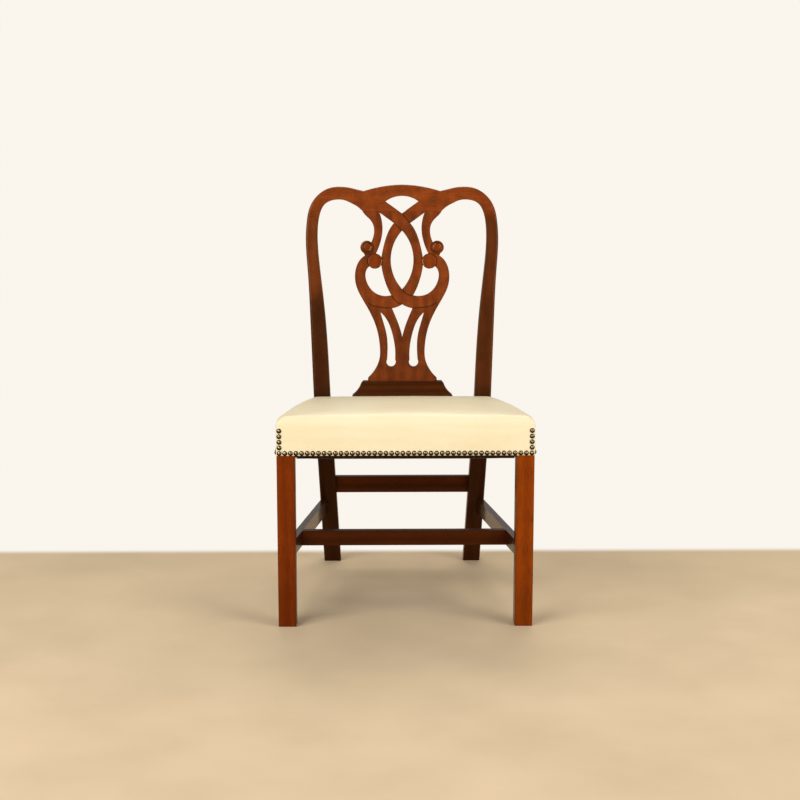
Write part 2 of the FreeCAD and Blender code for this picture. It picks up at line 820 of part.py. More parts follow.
# Stretchers
stretcher_end = stretcher_rear + tenon_length
side_stretcher = plan_prism([(stretcher_outer(leg_size), leg_size),
                             (stretcher_outer(stretcher_end), stretcher_end),
                             (stretcher_outer(stretcher_end) - stretcher_across, stretcher_end),
                             (stretcher_outer(leg_size) - stretcher_across, leg_size)],
                            side_stretcher_bottom, side_stretcher_top)
side_stretcher = side_stretcher.cut(behind_back)
side_stretcher = side_stretcher.fuse([stretcher_tenon(leg_size, 0),
                                      stretcher_tenon(stretcher_rear, 0)])
side_stretcher = side_stretcher.cut(medial_tenon(glue_gap))

medial_back = medial_stretcher_front + stretcher_thickness
medial_front_half = stretcher_outer(medial_stretcher_front) - stretcher_across
medial_back_half = stretcher_outer(medial_back) - stretcher_across
medial_stretcher = plan_prism([(-medial_front_half, medial_stretcher_front),
                               (medial_front_half, medial_stretcher_front),
                               (medial_back_half, medial_back), (-medial_back_half, medial_back)],
                              side_stretcher_bottom, side_stretcher_top)
medial_stretcher = medial_stretcher.fuse([medial_tenon(0), mirrored(medial_tenon(0))])

rear_stretcher = box((-post_inner_at_seat, rear_stretcher_front, rear_stretcher_bottom),
                     (post_inner_at_seat, rear_stretcher_front + stretcher_thickness,
                      rear_stretcher_top))
rear_stretcher = rear_stretcher.common(between_posts)
rear_stretcher = rear_stretcher.fuse([rear_stretcher_tenon(0), mirrored(rear_stretcher_tenon(0))])

post = post.cut(side_rail_rear_tenon(glue_gap)).cut(rear_rail_tenon(glue_gap))
post = post.cut(stretcher_tenon(stretcher_rear, glue_gap)).cut(rear_stretcher_tenon(glue_gap))


# Corner blocks, glued in the corners of the frame and screwed to the rails
def rail_inner(y):
    return outer_half(y) - rail_thickness_across


block_bottom = rail_bottom + block_lift
block_middle = block_bottom + block_height / 2
notch_x = leg_inner_face - block_leg_gap
notch_y = leg_size + block_leg_gap
front_block_reach = (leg_inner_face - block_leg_reach, rail_thickness)
front_block_side = (rail_inner(leg_size + block_leg_reach), leg_size + block_leg_reach)
front_block = plan_prism([front_block_reach, (notch_x, rail_thickness), (notch_x, notch_y),
                          (rail_inner(notch_y), notch_y), front_block_side],
                         block_bottom, block_bottom + block_height)
rear_block_back = seat_depth - rear_rail_setback
rear_block_front = rear_block_back - block_leg_reach
rear_block_side = (rail_inner(rear_block_front), rear_block_front)
rear_block_reach = (rail_inner(rear_block_back) - rear_block_width, rear_block_back)
rear_block = plan_prism([rear_block_reach, rear_block_side,
                         (rail_inner(rear_block_back), rear_block_back)],
                        block_bottom, block_bottom + block_height)


def block_screws(first, second, away, growth):
    """Two countersunk screws square to a block's long face, which runs between two points."""
    along = vec(second[0] - first[0], second[1] - first[1], 0).normalize()
    inward = vec(along.y, -along.x, 0)
    if inward.y * away < 0:
        inward = inward * -1
    middle = vec((first[0] + second[0]) / 2, (first[1] + second[1]) / 2, block_middle)
    screws = []
    for step in (-screw_spacing / 2, screw_spacing / 2):
        start = middle + along * step
        shank = Part.makeCylinder(screw_radius + growth, screw_length + growth, start, inward)
        head = Part.makeCone(screw_head + growth, screw_radius + growth, screw_head_height,
                             start, inward)
        screws.append(shank.fuse(head).removeSplitter())
    return screws


front_screws = block_screws(front_block_reach, front_block_side, -1, 0)
rear_screws = block_screws(rear_block_reach, rear_block_side, 1, 0)
screws = front_screws + rear_screws
screws = screws + [mirrored(screw) for screw in screws]
front_screw_holes = block_screws(front_block_reach, front_block_side, -1, glue_gap)
rear_screw_holes = block_screws(rear_block_reach, rear_block_side, 1, glue_gap)
front_block = front_block.cut(Part.makeCompound(front_screw_holes))
rear_block = rear_block.cut(Part.makeCompound(rear_screw_holes))
side_rail = side_rail.cut(Part.makeCompound(front_screw_holes + rear_screw_holes))
for hole in front_screw_holes:
    front_rail = front_rail.cut(hole).cut(mirrored(hole))
for hole in rear_screw_holes:
    rear_rail = rear_rail.cut(hole).cut(mirrored(hole))


# Webbing: interlaced straps, built level and then laid on the sloping top of the frame
def on_frame(shape):
    laid = shape.copy()
    laid.rotate(vec(0, 0, 0), vec(1, 0, 0), -math.degrees(math.atan(seat_slope)))
    laid.translate(vec(0, 0, front_rail_top))
    return laid


def strap_outline(start, stop, crossings, over_first):
    """Points (along, height) under a strap that passes over every other crossing strap."""
    points = [(start, 0)]
    for i, crossing in enumerate(crossings):
        if (i % 2 == 0) == over_first:
            half = webbing_width / 2
            points.append((crossing - half - webbing_ramp, 0))
            points.append((crossing - half, webbing_thickness))
            points.append((crossing + half, webbing_thickness))
            points.append((crossing + half + webbing_ramp, 0))
    points.append((stop, 0))
    return points


def strap(points, place, across):
    """A strap of even thickness along an outline; place(along, height) gives its edge."""
    upper = [(along, height + webbing_thickness) for along, height in reversed(points)]
    corners = [place(along, height) for along, height in points + upper]
    return Part.Face(Part.makePolygon(corners + corners[:1])).extrude(across)


lengthwise_reach = post_inner_at_seat - lengthwise_inset
lengthwise_spacing = 2 * lengthwise_reach / (straps_each_way - 1)
lengthwise_at = [i * lengthwise_spacing - lengthwise_reach for i in range(straps_each_way)]
crosswise_run = seat_depth - crosswise_last_gap - crosswise_first
crosswise_spacing = crosswise_run / (straps_each_way - 1)
crosswise_at = [crosswise_first + i * crosswise_spacing for i in range(straps_each_way)]
lengthwise = []
crosswise = []
for i in range(straps_each_way):
    left = lengthwise_at[i] - webbing_width / 2
    points = strap_outline(webbing_margin, seat_depth - webbing_margin, crosswise_at, i % 2 == 0)
    lengthwise.append(on_frame(strap(points, lambda along, height: vec(left, along, height),
                                     vec(webbing_width, 0, 0))))
    front = crosswise_at[i] - webbing_width / 2
    reach = outer_half(front + webbing_width) - webbing_margin
    points = strap_outline(-reach, reach, lengthwise_at, i % 2 == 1)
    crosswise.append(on_frame(strap(points, lambda along, height: vec(along, front, height),
                                    vec(0, webbing_width, 0))))

cloth_front = webbing_margin
cloth_back = seat_depth - webbing_margin
hessian_bottom = 2 * webbing_thickness
hessian = on_frame(plan_prism([(front_half - webbing_margin, cloth_front),
                               (front_half - webbing_margin, leg_size),
                               (outer_half(cloth_back) - webbing_margin, cloth_back),
                               (webbing_margin - outer_half(cloth_back), cloth_back),
                               (webbing_margin - front_half, leg_size),
                               (webbing_margin - front_half, cloth_front)],
                              hessian_bottom, hessian_bottom + hessian_thickness))


# Seat: one domed form, drawn down to the back. Each section is (distance from the front,
# height at the side and in the middle above the rails' lower edge, radius of the shoulder).
seat_sections = [(0, 86.0, 90.0, 20.0), (leg_size, 86.0, 92.0, 20.0),
                 (0.305 * seat_depth, 82.0, 92.0, 19.0), (0.545 * seat_depth, 75.5, 85.5, 17.0),
                 (0.784 * seat_depth, 66.0, 70.5, 14.0), (seat_depth, 54.7, 55.0, 8.0)]


def seat_wire(y, side_height, middle_height, radius, inset):
    half = outer_half(y) + leather - inset
    side = rail_bottom + side_height - inset
    shoulder = radius - inset
    low = vec(half, y, rail_bottom)
    side_end = vec(half, y, side - shoulder)
    slant = shoulder * math.sin(math.radians(45))
    shoulder_middle = vec(half - shoulder + slant, y, side - shoulder + slant)
    crown_start = vec(half - shoulder, y, side)
    crown_middle = vec(0, y, rail_bottom + middle_height - inset)
    right = [line(low, side_end), arc(side_end, shoulder_middle, crown_start)]
    left = [mirrored(edge) for edge in right]
    crown = arc(crown_start, crown_middle, vec(shoulder - half, y, side))
    return Part.Wire(Part.__sortEdges__(right + [crown] + left
                                        + [line(vec(-half, y, rail_bottom), low)]))


def seat_form(inset):
    """The outside of the leather when inset is 0, and the same form drawn in by inset."""
    wires = []
    for y, side_height, middle_height, radius in seat_sections:
        place = min(max(y, inset - leather), seat_depth - back_gap - inset)
        if y == 0:
            place = inset - leather
        wires.append(seat_wire(place, side_height, middle_height, radius, inset))
    front_part = Part.makeLoft(wires[:2], True, True)
    rear_part = Part.makeLoft(wires[1:], True, False)
    form = front_part.fuse(rear_part)
    front = inset - leather
    top = front_rail_top + front_roll_height - inset
    roll = side_prism([(front, -far, 0), (front, top, front_roll_radius - inset),
                       (front + front_roll_run, top + front_roll_rise, 0),
                       (front + front_roll_run, far * 2, 0), (2 * far, far * 2, 0),
                       (2 * far, -far, 0)])
    form = form.common(roll)
    corner = arris + leather - inset
    wall = front_half + leather - inset
    block = box((wall - corner, front - corner, 0), (wall + corner, front + corner, crest_top))
    block = block.cut(Part.makeCylinder(corner, crest_top, vec(wall - corner, front + corner, 0)))
    return form.cut(block).cut(mirrored(block))


frame_core = plan_prism([(front_half, 0), (front_half, leg_size),
                         (outer_half(rail_end), rail_end), (-outer_half(rail_end), rail_end),
                         (-front_half, leg_size), (-front_half, 0)],
                        0, front_rail_top).cut(above_frame(0))
leather_cover = seat_form(0).cut(seat_form(leather)).cut(frame_core)
pad_lift = hessian_bottom + hessian_thickness + pad_gap
seat_pad = seat_form(leather + pad_gap).common(above_frame(pad_lift))


# Dust cover: thin cloth under the rails, notched round legs and posts, hanging slack between
# the tacks. It comes nearly to the front edge of the front rail.
cover_top = rail_bottom
cover_bottom = rail_bottom - dust_cover_thickness
cover_back = seat_depth - dust_cover_margin
cover_end = shoe_back - dust_cover_margin
post_notch = leg_inner(rail_bottom) - dust_cover_margin
leg_notch = leg_inner_face - dust_cover_margin
cover_side_front = leg_size + dust_cover_margin
cover_right = [(leg_notch, dust_cover_front_margin), (leg_notch, cover_side_front),
               (outer_half(cover_side_front) - dust_cover_margin, cover_side_front),
               (outer_half(cover_back) - dust_cover_margin, cover_back), (post_notch, cover_back),
               (post_notch, cover_end)]
dust_cover = plan_prism(cover_right + [flipped(spot) for spot in reversed(cover_right)],
                        cover_bottom, cover_top)


def trapezoid(front, back, front_width_half, back_width_half, z):
    corners = [vec(-front_width_half, front, z), vec(front_width_half, front, z),
               vec(back_width_half, back, z), vec(-back_width_half, back, z)]
    return Part.makePolygon(corners + corners[:1])


def sag_form(z):
    """The slack of the dust cover as a shallow tray whose rim lies at height z."""
    front = dust_cover_front_margin + sag_front_gap
    back = seat_depth - sag_back_inset
    front_reach = front_half - sag_front_inset
    rear_reach = post_outer_at_seat - sag_rear_inset
    rim = trapezoid(front, back, front_reach, rear_reach, z)
    floor = trapezoid(front + sag_front_run, back - sag_side_run, front_reach - sag_side_run,
                      rear_reach - sag_side_run, z - dust_cover_sag)
    return Part.makeLoft([rim, floor], True, True)


dust_cover = dust_cover.fuse(sag_form(cover_bottom)).cut(sag_form(cover_top))


# Fasteners. A nail or tack is made pointing along +Y with its head against the plane Y = 0.
def nail(head_radius, head_height, length):
    ball = (head_radius ** 2 + head_height ** 2) / (2 * head_height)
    half_turn = math.asin(head_radius / ball) / 2
    shoulder = vec(ball * math.sin(half_turn), ball - head_height - ball * math.cos(half_turn), 0)
    rim = vec(head_radius, 0, 0)
    crown = vec(0, -head_height, 0)
    section = face_of([arc(rim, shoulder, crown), line(crown, vec(0, 0, 0)),
                       line(vec(0, 0, 0), rim)])
    dome = section.revolve(vec(0, 0, 0), vec(0, 1, 0), 360)
    return dome.fuse(nail_pocket(length, 0)).removeSplitter()


def nail_pocket(length, growth):
    half = nail_shank / 2 + growth
    return box((-half, -growth, -half), (half, length + growth, half))


def placed(shape, x, y, z, turn):
    """Turned about the upright axis, then moved to its place."""
    moved = shape.copy()
    moved.rotate(vec(0, 0, 0), vec(0, 0, 1), turn)
    moved.translate(vec(x, y, z))
    return moved


def tack_place(shape, x, y):
    """Pointing straight up under the dust cover."""
    moved = shape.copy()
    moved.rotate(vec(0, 0, 0), vec(1, 0, 0), 90)
    moved.translate(vec(x, y, cover_bottom))
    return moved


nail_height = rail_bottom + nail_line


def spread(first, last, count):
    """Places from the first to the last, evenly apart."""
    return [first + (last - first) * i / (count - 1) for i in range(count)]


def nail_run(first, last):
    """Places of a row of nails, as near to the nails' pitch as fits."""
    return spread(first, last, 1 + round((last - first) / nail_pitch))


front_row_end = front_half - front_row_inset
front_places = [(x, nail_height) for x in nail_run(-front_row_end, front_row_end)]
column_places = [(front_row_end, nail_height + nail_pitch * (i + 1)) for i in range(corner_column)]
side_places = nail_run(side_row_first, seat_depth - side_row_last_gap)


def front_nails(shape, places):
    return [placed(shape, x, -leather, z, 0) for x, z in places]


def side_nails(shape):
    row = []
    for y in side_places:
        turn = 90.0
        if y > leg_size:
            turn += math.degrees(taper_angle)
        row.append(placed(shape, outer_half(y) + leather, y, nail_height, turn))
    return row


brass_nail = nail(nail_head / 2, nail_dome, nail_length)
brass_pocket = nail_pocket(nail_length, glue_gap)
tack = nail(tack_head / 2, tack_head_height, tack_length)
tack_pocket = nail_pocket(tack_length, glue_gap)

side_tack_spots = [(outer_half(y) - tack_inset, y)
                   for y in spread(side_tack_first, seat_depth - side_tack_last_gap,
                                   side_tack_count)]
rear_tack_end = post_inner_at_seat - rear_tack_gap
rear_tack_spots = [(x, cover_end - tack_inset)
                   for x in spread(-rear_tack_end, rear_tack_end, rear_tack_count)]
front_tack_spots = [(leg_inner_face - front_tack_gap, tack_inset)]
tack_spots = (side_tack_spots + front_tack_spots
              + [flipped(spot) for spot in side_tack_spots + front_tack_spots] + rear_tack_spots)

pockets = front_nails(brass_pocket, front_places)
right_pockets = front_nails(brass_pocket, column_places) + side_nails(brass_pocket)
tack_pockets = [tack_place(tack_pocket, x, y) for x, y in tack_spots]
pocket_cutter = Part.makeCompound(pockets + right_pockets
                                  + [mirrored(shape) for shape in right_pockets])
tack_cutter = Part.makeCompound(tack_pockets)
leather_cover = leather_cover.cut(pocket_cutter)
front_rail = front_rail.cut(pocket_cutter).cut(tack_cutter)
front_leg = front_leg.cut(pocket_cutter)
side_rail = side_rail.cut(pocket_cutter).cut(tack_cutter)
rear_rail = rear_rail.cut(tack_cutter)
dust_cover = dust_cover.cut(tack_cutter)
column_nails = Part.makeCompound(front_nails(brass_nail, column_places))
row_nails = Part.makeCompound(side_nails(brass_nail))

nodes = {
    "front_leg_right": front_leg,
    "front_leg_left": mirrored(front_leg),
    "back_post_right": post,
    "back_post_left": mirrored(post),
    "crest_rail": crest,
    "splat": splat,
    "splat_shoe": shoe,
    "front_seat_rail": front_rail,
    "rear_seat_rail": rear_rail,
    "side_seat_rail_right": side_rail,
    "side_seat_rail_left": mirrored(side_rail),
    "front_corner_block_right": front_block,
    "front_corner_block_left": mirrored(front_block),
    "rear_corner_block_right": rear_block,
    "rear_corner_block_left": mirrored(rear_block),
    "corner_block_screws": Part.makeCompound(screws),
    "side_stretcher_right": side_stretcher,
    "side_stretcher_left": mirrored(side_stretcher),
    "medial_stretcher": medial_stretcher,
    "rear_stretcher": rear_stretcher,
    "hessian": hessian,
    "seat_pad": seat_pad,
    "leather_cover": leather_cover,
    "dust_cover": dust_cover,
    "dust_cover_tacks": Part.makeCompound([tack_place(tack, x, y) for x, y in tack_spots]),
    "front_row_nails": Part.makeCompound(front_nails(brass_nail, front_places)),
    "corner_nails_right": column_nails,
    "corner_nails_left": mirrored(column_nails),
    "side_nails_right": row_nails,
    "side_nails_left": mirrored(row_nails),
}
for i in range(straps_each_way):
    nodes["webbing_lengthwise_" + str(i + 1)] = lengthwise[i]
    nodes["webbing_crosswise_" + str(i + 1)] = crosswise[i]

# Origin under the middle of the whole chair
bounds = Part.makeCompound(list(nodes.values())).optimalBoundingBox(False)
shift = vec(-bounds.Center.x, -bounds.Center.y, -bounds.ZMin)
for name, shape in nodes.items():
    solids = [solid.copy() for solid in shape.Solids]
    piece = solids[0] if len(solids) == 1 else Part.makeCompound(solids)
    piece.translate(shift)
    piece.exportStep("parts/" + name + ".step")
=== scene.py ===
import bpy
import math
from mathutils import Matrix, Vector, noise


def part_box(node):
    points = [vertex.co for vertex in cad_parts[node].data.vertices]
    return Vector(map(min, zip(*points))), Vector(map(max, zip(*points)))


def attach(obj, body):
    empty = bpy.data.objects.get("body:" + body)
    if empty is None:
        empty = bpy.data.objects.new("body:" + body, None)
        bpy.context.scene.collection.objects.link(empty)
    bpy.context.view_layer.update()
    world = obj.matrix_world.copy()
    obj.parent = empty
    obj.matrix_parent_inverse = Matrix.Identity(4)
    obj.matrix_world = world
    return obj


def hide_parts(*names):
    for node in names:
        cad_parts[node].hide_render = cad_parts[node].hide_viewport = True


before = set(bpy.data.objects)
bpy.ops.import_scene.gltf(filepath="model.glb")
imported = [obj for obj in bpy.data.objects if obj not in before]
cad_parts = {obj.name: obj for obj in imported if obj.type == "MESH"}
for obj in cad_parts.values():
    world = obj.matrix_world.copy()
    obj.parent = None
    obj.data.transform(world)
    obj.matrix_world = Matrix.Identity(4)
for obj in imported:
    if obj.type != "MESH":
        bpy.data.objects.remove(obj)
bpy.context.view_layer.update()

# Camera: a long lens one metre above the floor, some centimetres left of the chair's middle
# line, looking down on it by less than ten degrees.
camera_place = (-0.0523, -3.3652, 1.0019)
camera_pitch = math.radians(80.59)
camera_yaw = math.radians(-0.75)
bpy.ops.object.select_all(action="DESELECT")
bpy.ops.object.camera_add(location=camera_place, rotation=(camera_pitch, 0, camera_yaw))
camera = bpy.context.object
camera.name = "front_camera"
camera.data.sensor_width = 36.0
camera.data.lens = 67.5
bpy.context.scene.camera = camera
bpy.context.scene.view_settings.view_transform = "Standard"

# Room: a beige floor that ends in a plain cream background just behind the chair, one large
# soft lamp at the left, a weaker one at the right and one above and behind.
def add_node(tree, kind, inputs=None, **settings):
    """A new node with its settings made and its inputs given a value or a link."""
    made = tree.nodes.new(kind)
    for name, value in settings.items():
        setattr(made, name, value)
    for name, value in (inputs or {}).items():
        if isinstance(value, bpy.types.NodeSocket):
            tree.links.new(value, made.inputs[name])
        else:
            made.inputs[name].default_value = value
    return made


def ranged(tree, value, low, high, to_low=0.0, to_high=1.0, curve="LINEAR"):
    """A value carried from one range to another, and held inside it."""
    return add_node(tree, "ShaderNodeMapRange",
                    {"Value": value, "From Min": low, "From Max": high, "To Min": to_low,
                     "To Max": to_high}, interpolation_type=curve).outputs[0]


def worked_out(tree, operation, *values):
    """The result of one operation on some values."""
    return add_node(tree, "ShaderNodeMath", dict(enumerate(values)),
                    operation=operation).outputs[0]


def blended(tree, share, first, second, way="MIX"):
    """Two colours mixed, with the second one's share."""
    return add_node(tree, "ShaderNodeMix", {0: share, 6: first, 7: second}, data_type="RGBA",
                    blend_type=way).outputs[2]


def lamp(name, place, aim, size, watts, colour):
    """A soft rectangular lamp, turned towards the place it aims at."""
    bpy.ops.object.light_add(type="AREA", location=place)
    made = bpy.context.object
    made.name = name
    made.rotation_euler = (Vector(aim) - Vector(place)).to_track_quat("-Z", "Y").to_euler()
    made.data.shape = "RECTANGLE"
    made.data.size, made.data.size_y = size
    made.data.energy = watts
    made.data.color = colour


lamp("left_window", (-2.1, -2.3, 2.1), (0, 0, 0.45), (2.2, 2.0), 77, (1.0, 0.97, 0.93))
lamp("right_wall", (2.4, -1.9, 1.5), (0, 0, 0.45), (1.6, 1.8), 50, (1.0, 0.96, 0.9))
lamp("high_back", (0.2, 1.5, 2.7), (0, 0, 0.5), (2.0, 1.0), 28, (1.0, 0.9, 0.76))

background = (0.955, 0.915, 0.85, 1)
world = bpy.data.worlds.new("cream_room")
bpy.context.scene.world = world
world.use_nodes = True
tree = world.node_tree
tree.nodes.clear()
rays = add_node(tree, "ShaderNodeLightPath")
soft = add_node(tree, "ShaderNodeBackground", {"Color": (1.0, 0.97, 0.93, 1), "Strength": 0.33})
wall = add_node(tree, "ShaderNodeBackground", {"Color": background, "Strength": 1.0})
seen = add_node(tree, "ShaderNodeMixShader", {0: rays.outputs["Is Camera Ray"],
                                              1: soft.outputs[0], 2: wall.outputs[0]})
add_node(tree, "ShaderNodeOutputWorld", {"Surface": seen.outputs[0]})

floor_radius = 9.0
floor_fades_from, floor_ends_at = 0.31, 0.36
bpy.ops.mesh.primitive_circle_add(vertices=96, radius=floor_radius, fill_type="NGON",
                                  location=(0, 0, 0))
floor = bpy.context.object
floor.name = "floor"
paint = bpy.data.materials.new("pale_floor")
paint.use_nodes = True
tree = paint.node_tree
tree.nodes.clear()
place = add_node(tree, "ShaderNodeTexCoord")
reach = add_node(tree, "ShaderNodeSeparateXYZ", {0: place.outputs["Object"]})
far_off = ranged(tree, reach.outputs["Y"], floor_fades_from, floor_ends_at, curve="SMOOTHSTEP")
rays = add_node(tree, "ShaderNodeLightPath")
shown = worked_out(tree, "MULTIPLY", far_off, rays.outputs["Is Camera Ray"])
cloudy = add_node(tree, "ShaderNodeTexNoise", {"Vector": place.outputs["Object"], "Scale": 3.5,
                                               "Detail": 4.0})
trowelled = blended(tree, cloudy.outputs[0], (0.56, 0.44, 0.28, 1), (0.8, 0.63, 0.42, 1))
near_floor = add_node(tree, "ShaderNodeBsdfPrincipled", {"Base Color": trowelled,
                                                         "Roughness": 0.75})
distant = add_node(tree, "ShaderNodeEmission", {"Color": background, "Strength": 1.0})
both = add_node(tree, "ShaderNodeMixShader", {0: shown, 1: near_floor.outputs[0],
                                              2: distant.outputs[0]})
add_node(tree, "ShaderNodeOutputMaterial", {"Surface": both.outputs[0]})
floor.data.materials.append(paint)


# Legs and posts: square front legs and bandsawn back posts of solid mahogany, each in one
# length with the grain upright, scraped smooth, stained and polished with shellac and wax.
def new_group(name, takes, gives):
    """A shader group, with what it takes and gives; returns it with its inner sockets."""
    group = bpy.data.node_groups.new(name, "ShaderNodeTree")
    for label, kind, value in takes:
        socket = group.interface.new_socket(label, in_out="INPUT", socket_type=kind)
        if value is not None:
            socket.default_value = value
    for label, kind in gives:
        group.interface.new_socket(label, in_out="OUTPUT", socket_type=kind)
    return group, group.nodes.new("NodeGroupInput").outputs, group.nodes.new("NodeGroupOutput")


def new_finish(name):
    """A material, with its node tree and its shader."""
    made = bpy.data.materials.new(name)
    made.use_nodes = True
    return made, made.node_tree, made.node_tree.nodes["Principled BSDF"]


def mixed(tree, share, first, second):
    """Two values mixed, with the second one's share."""
    return add_node(tree, "ShaderNodeMix", {0: share, 2: first, 3: second}).outputs[0]


# A dark colour for painted shade on edges and in carved lines, and for old wax.
wax_and_painted_shade = (0.012, 0.003, 0.001, 1)
pore_filler = (0.012, 0.004, 0.002, 1)
figure, given, result = new_group(
    "mahogany_figure",
    [("Vector", "NodeSocketVector", None), ("Dark", "NodeSocketColor", None),
     ("Light", "NodeSocketColor", None), ("Ribbon", "NodeSocketFloat", 0.25)],
    [("Color", "NodeSocketColor"), ("Roughness", "NodeSocketFloat"),
     ("Height", "NodeSocketFloat")])
long_grain = add_node(figure, "ShaderNodeVectorMath", {0: given["Vector"], 1: (1, 1, 0.09)},
                      operation="MULTIPLY")
clouds = add_node(figure, "ShaderNodeTexNoise", {"Vector": long_grain.outputs[0], "Scale": 17.0,
                                                 "Detail": 3.0, "Distortion": 0.6})
fine_grain = add_node(figure, "ShaderNodeVectorMath", {0: given["Vector"], 1: (1, 1, 0.035)},
                      operation="MULTIPLY")
streaks = add_node(figure, "ShaderNodeTexNoise", {"Vector": fine_grain.outputs[0], "Scale": 190.0,
                                                  "Detail": 5.0, "Roughness": 0.62,
                                                  "Distortion": 0.4})
ribbon = add_node(figure, "ShaderNodeTexWave", {"Vector": long_grain.outputs[0], "Scale": 11.0,
                                                "Distortion": 5.0, "Detail": 2.0,
                                                "Detail Scale": 1.6})
pore_grain = add_node(figure, "ShaderNodeVectorMath", {0: given["Vector"], 1: (1, 1, 0.028)},
                      operation="MULTIPLY")
pores = add_node(figure, "ShaderNodeTexNoise", {"Vector": pore_grain.outputs[0], "Scale": 1150.0,
                                                "Detail": 1.0})
pore_mask = ranged(figure, pores.outputs[0], 0.57, 0.7)
two_tones = mixed(figure, 0.42, clouds.outputs[0], streaks.outputs[0])
three_tones = mixed(figure, given["Ribbon"], two_tones, ribbon.outputs["Fac"])
stained = blended(figure, ranged(figure, three_tones, 0.3, 0.7), given["Dark"], given["Light"])
pore_depth = worked_out(figure, "MULTIPLY", pore_mask, 0.55)
filled = blended(figure, pore_depth, stained, pore_filler)
polish = ranged(figure, three_tones, 0.0, 1.0, 0.24, 0.4)
dulled = worked_out(figure, "MULTIPLY_ADD", pore_mask, 0.16, polish)
hollow = worked_out(figure, "SUBTRACT", 1.0, pore_mask)
figure.links.new(filled, result.inputs["Color"])
figure.links.new(dulled, result.inputs["Roughness"])
figure.links.new(hollow, result.inputs["Height"])


# Painted shade and reflection: a colour darkened by shares below, between and above two heights,
# for the shade under the seat and dark reflections; the mottle is the wood's own uneven tone.
darkened, given, result = new_group(
    "painted_height_shade_and_mottle",
    [("Color", "NodeSocketColor", None), ("Vector", "NodeSocketVector", None),
     ("Low Share", "NodeSocketFloat", 1.0), ("Middle Share", "NodeSocketFloat", 1.0),
     ("High Share", "NodeSocketFloat", 1.0), ("Low Height", "NodeSocketFloat", 0.0),
     ("High Height", "NodeSocketFloat", 1.0), ("Mottle", "NodeSocketFloat", 0.15)],
    [("Color", "NodeSocketColor")])
patches = add_node(darkened, "ShaderNodeTexNoise", {"Vector": given["Vector"], "Scale": 30.0,
                                                    "Detail": 3.0, "Roughness": 0.6})
patchy = ranged(darkened, patches.outputs[0], 0.35, 0.65, -1.0, 1.0)
uneven = worked_out(darkened, "MULTIPLY_ADD", patchy, given["Mottle"], 1.0)
parts = add_node(darkened, "ShaderNodeSeparateXYZ", {0: given["Vector"]})
border_half = 0.03
share = given["Low Share"]
for border, next_share in (("Low Height", "Middle Share"), ("High Height", "High Share")):
    above = worked_out(darkened, "SUBTRACT", parts.outputs["Z"], given[border])
    passed = ranged(darkened, above, -border_half, border_half, curve="SMOOTHSTEP")
    share = mixed(darkened, passed, share, given[next_share])
mottled = worked_out(darkened, "MULTIPLY", share, uneven)
darkened.links.new(blended(darkened, 1.0, given["Color"], mottled, "MULTIPLY"),
                   result.inputs["Color"])


def mahogany(name, turn, dark, light, ribbon_share=0.25, shares=(1, 1, 1), borders=(0, 1),
             mottle=0.1, coat=0.05, seams=()):
    """Polished mahogany. The turn brings the piece's grain upright; its colour is taken down to
    three shares below, between and above two heights, as painted shade and reflection. Edges, and
    faces turned away from view, are darkened with painted shade and dark wax, but not where a seam,
    at its height, was scraped flush with the next piece."""
    edge_reach = 0.0019
    flush_within, edged_from = 0.003, 0.005
    made, tree, shader = new_finish(name)
    shader.inputs["Specular Tint"].default_value = (1.0, 0.4, 0.12, 1)
    shader.inputs["Specular IOR Level"].default_value = 0.38
    shader.inputs["Coat Weight"].default_value = coat
    shader.inputs["Coat Roughness"].default_value = 0.1
    place = add_node(tree, "ShaderNodeTexCoord")
    turned = add_node(tree, "ShaderNodeMapping", {"Vector": place.outputs["Object"],
                                                  "Rotation": turn})
    wood = add_node(tree, "ShaderNodeGroup", node_tree=figure)
    tree.links.new(turned.outputs[0], wood.inputs["Vector"])
    wood.inputs["Dark"].default_value = dark
    wood.inputs["Light"].default_value = light
    wood.inputs["Ribbon"].default_value = ribbon_share
    raised = add_node(tree, "ShaderNodeBump", {"Strength": 0.35, "Distance": 0.0003,
                                               "Height": wood.outputs["Height"]})
    shade_and_mottle = add_node(tree, "ShaderNodeGroup", node_tree=darkened)
    tree.links.new(wood.outputs["Color"], shade_and_mottle.inputs["Color"])
    tree.links.new(place.outputs["Object"], shade_and_mottle.inputs["Vector"])
    for label, value in zip(("Low Share", "Middle Share", "High Share", "Low Height",
                             "High Height"), tuple(shares) + tuple(borders)):
        shade_and_mottle.inputs[label].default_value = value
    shade_and_mottle.inputs["Mottle"].default_value = mottle
    # Painted shade and reflection: faces turned away from view, and edges found by occlusion from
    # inside, are darkened towards a dark colour that also stands for old wax.
    turned_away = add_node(tree, "ShaderNodeLayerWeight", {"Blend": 0.5})
    rim_share = ranged(tree, turned_away.outputs["Facing"], 0.45, 0.95, 0.0, 0.75)
    depth_in = add_node(tree, "ShaderNodeAmbientOcclusion", {"Distance": edge_reach}, inside=True,
                        only_local=True, samples=6)
    edge_share = ranged(tree, depth_in.outputs["AO"], 0.55, 0.95, 0.6, 0.0)
    parts = add_node(tree, "ShaderNodeSeparateXYZ", {0: place.outputs["Object"]})
    for seam in seams:
        above = worked_out(tree, "SUBTRACT", parts.outputs["Z"], seam)
        away = worked_out(tree, "ABSOLUTE", above)
        clear = ranged(tree, away, flush_within, edged_from)
        edge_share = worked_out(tree, "MULTIPLY", edge_share, clear)
    edge_shade_share = worked_out(tree, "MAXIMUM", rim_share, edge_share)
    rimmed = blended(tree, edge_shade_share, shade_and_mottle.outputs["Color"], wax_and_painted_shade)
    tree.links.new(rimmed, shader.inputs["Base Color"])
    tree.links.new(wood.outputs["Roughness"], shader.inputs["Roughness"])
    tree.links.new(raised.outputs[0], shader.inputs["Normal"])
    return made


def finish_with(material, *names):
    """Put one material on all the slots of some of the frame's pieces."""
    for name in names:
        for material_slot in bpy.data.objects[name].material_slots:
            material_slot.material = material


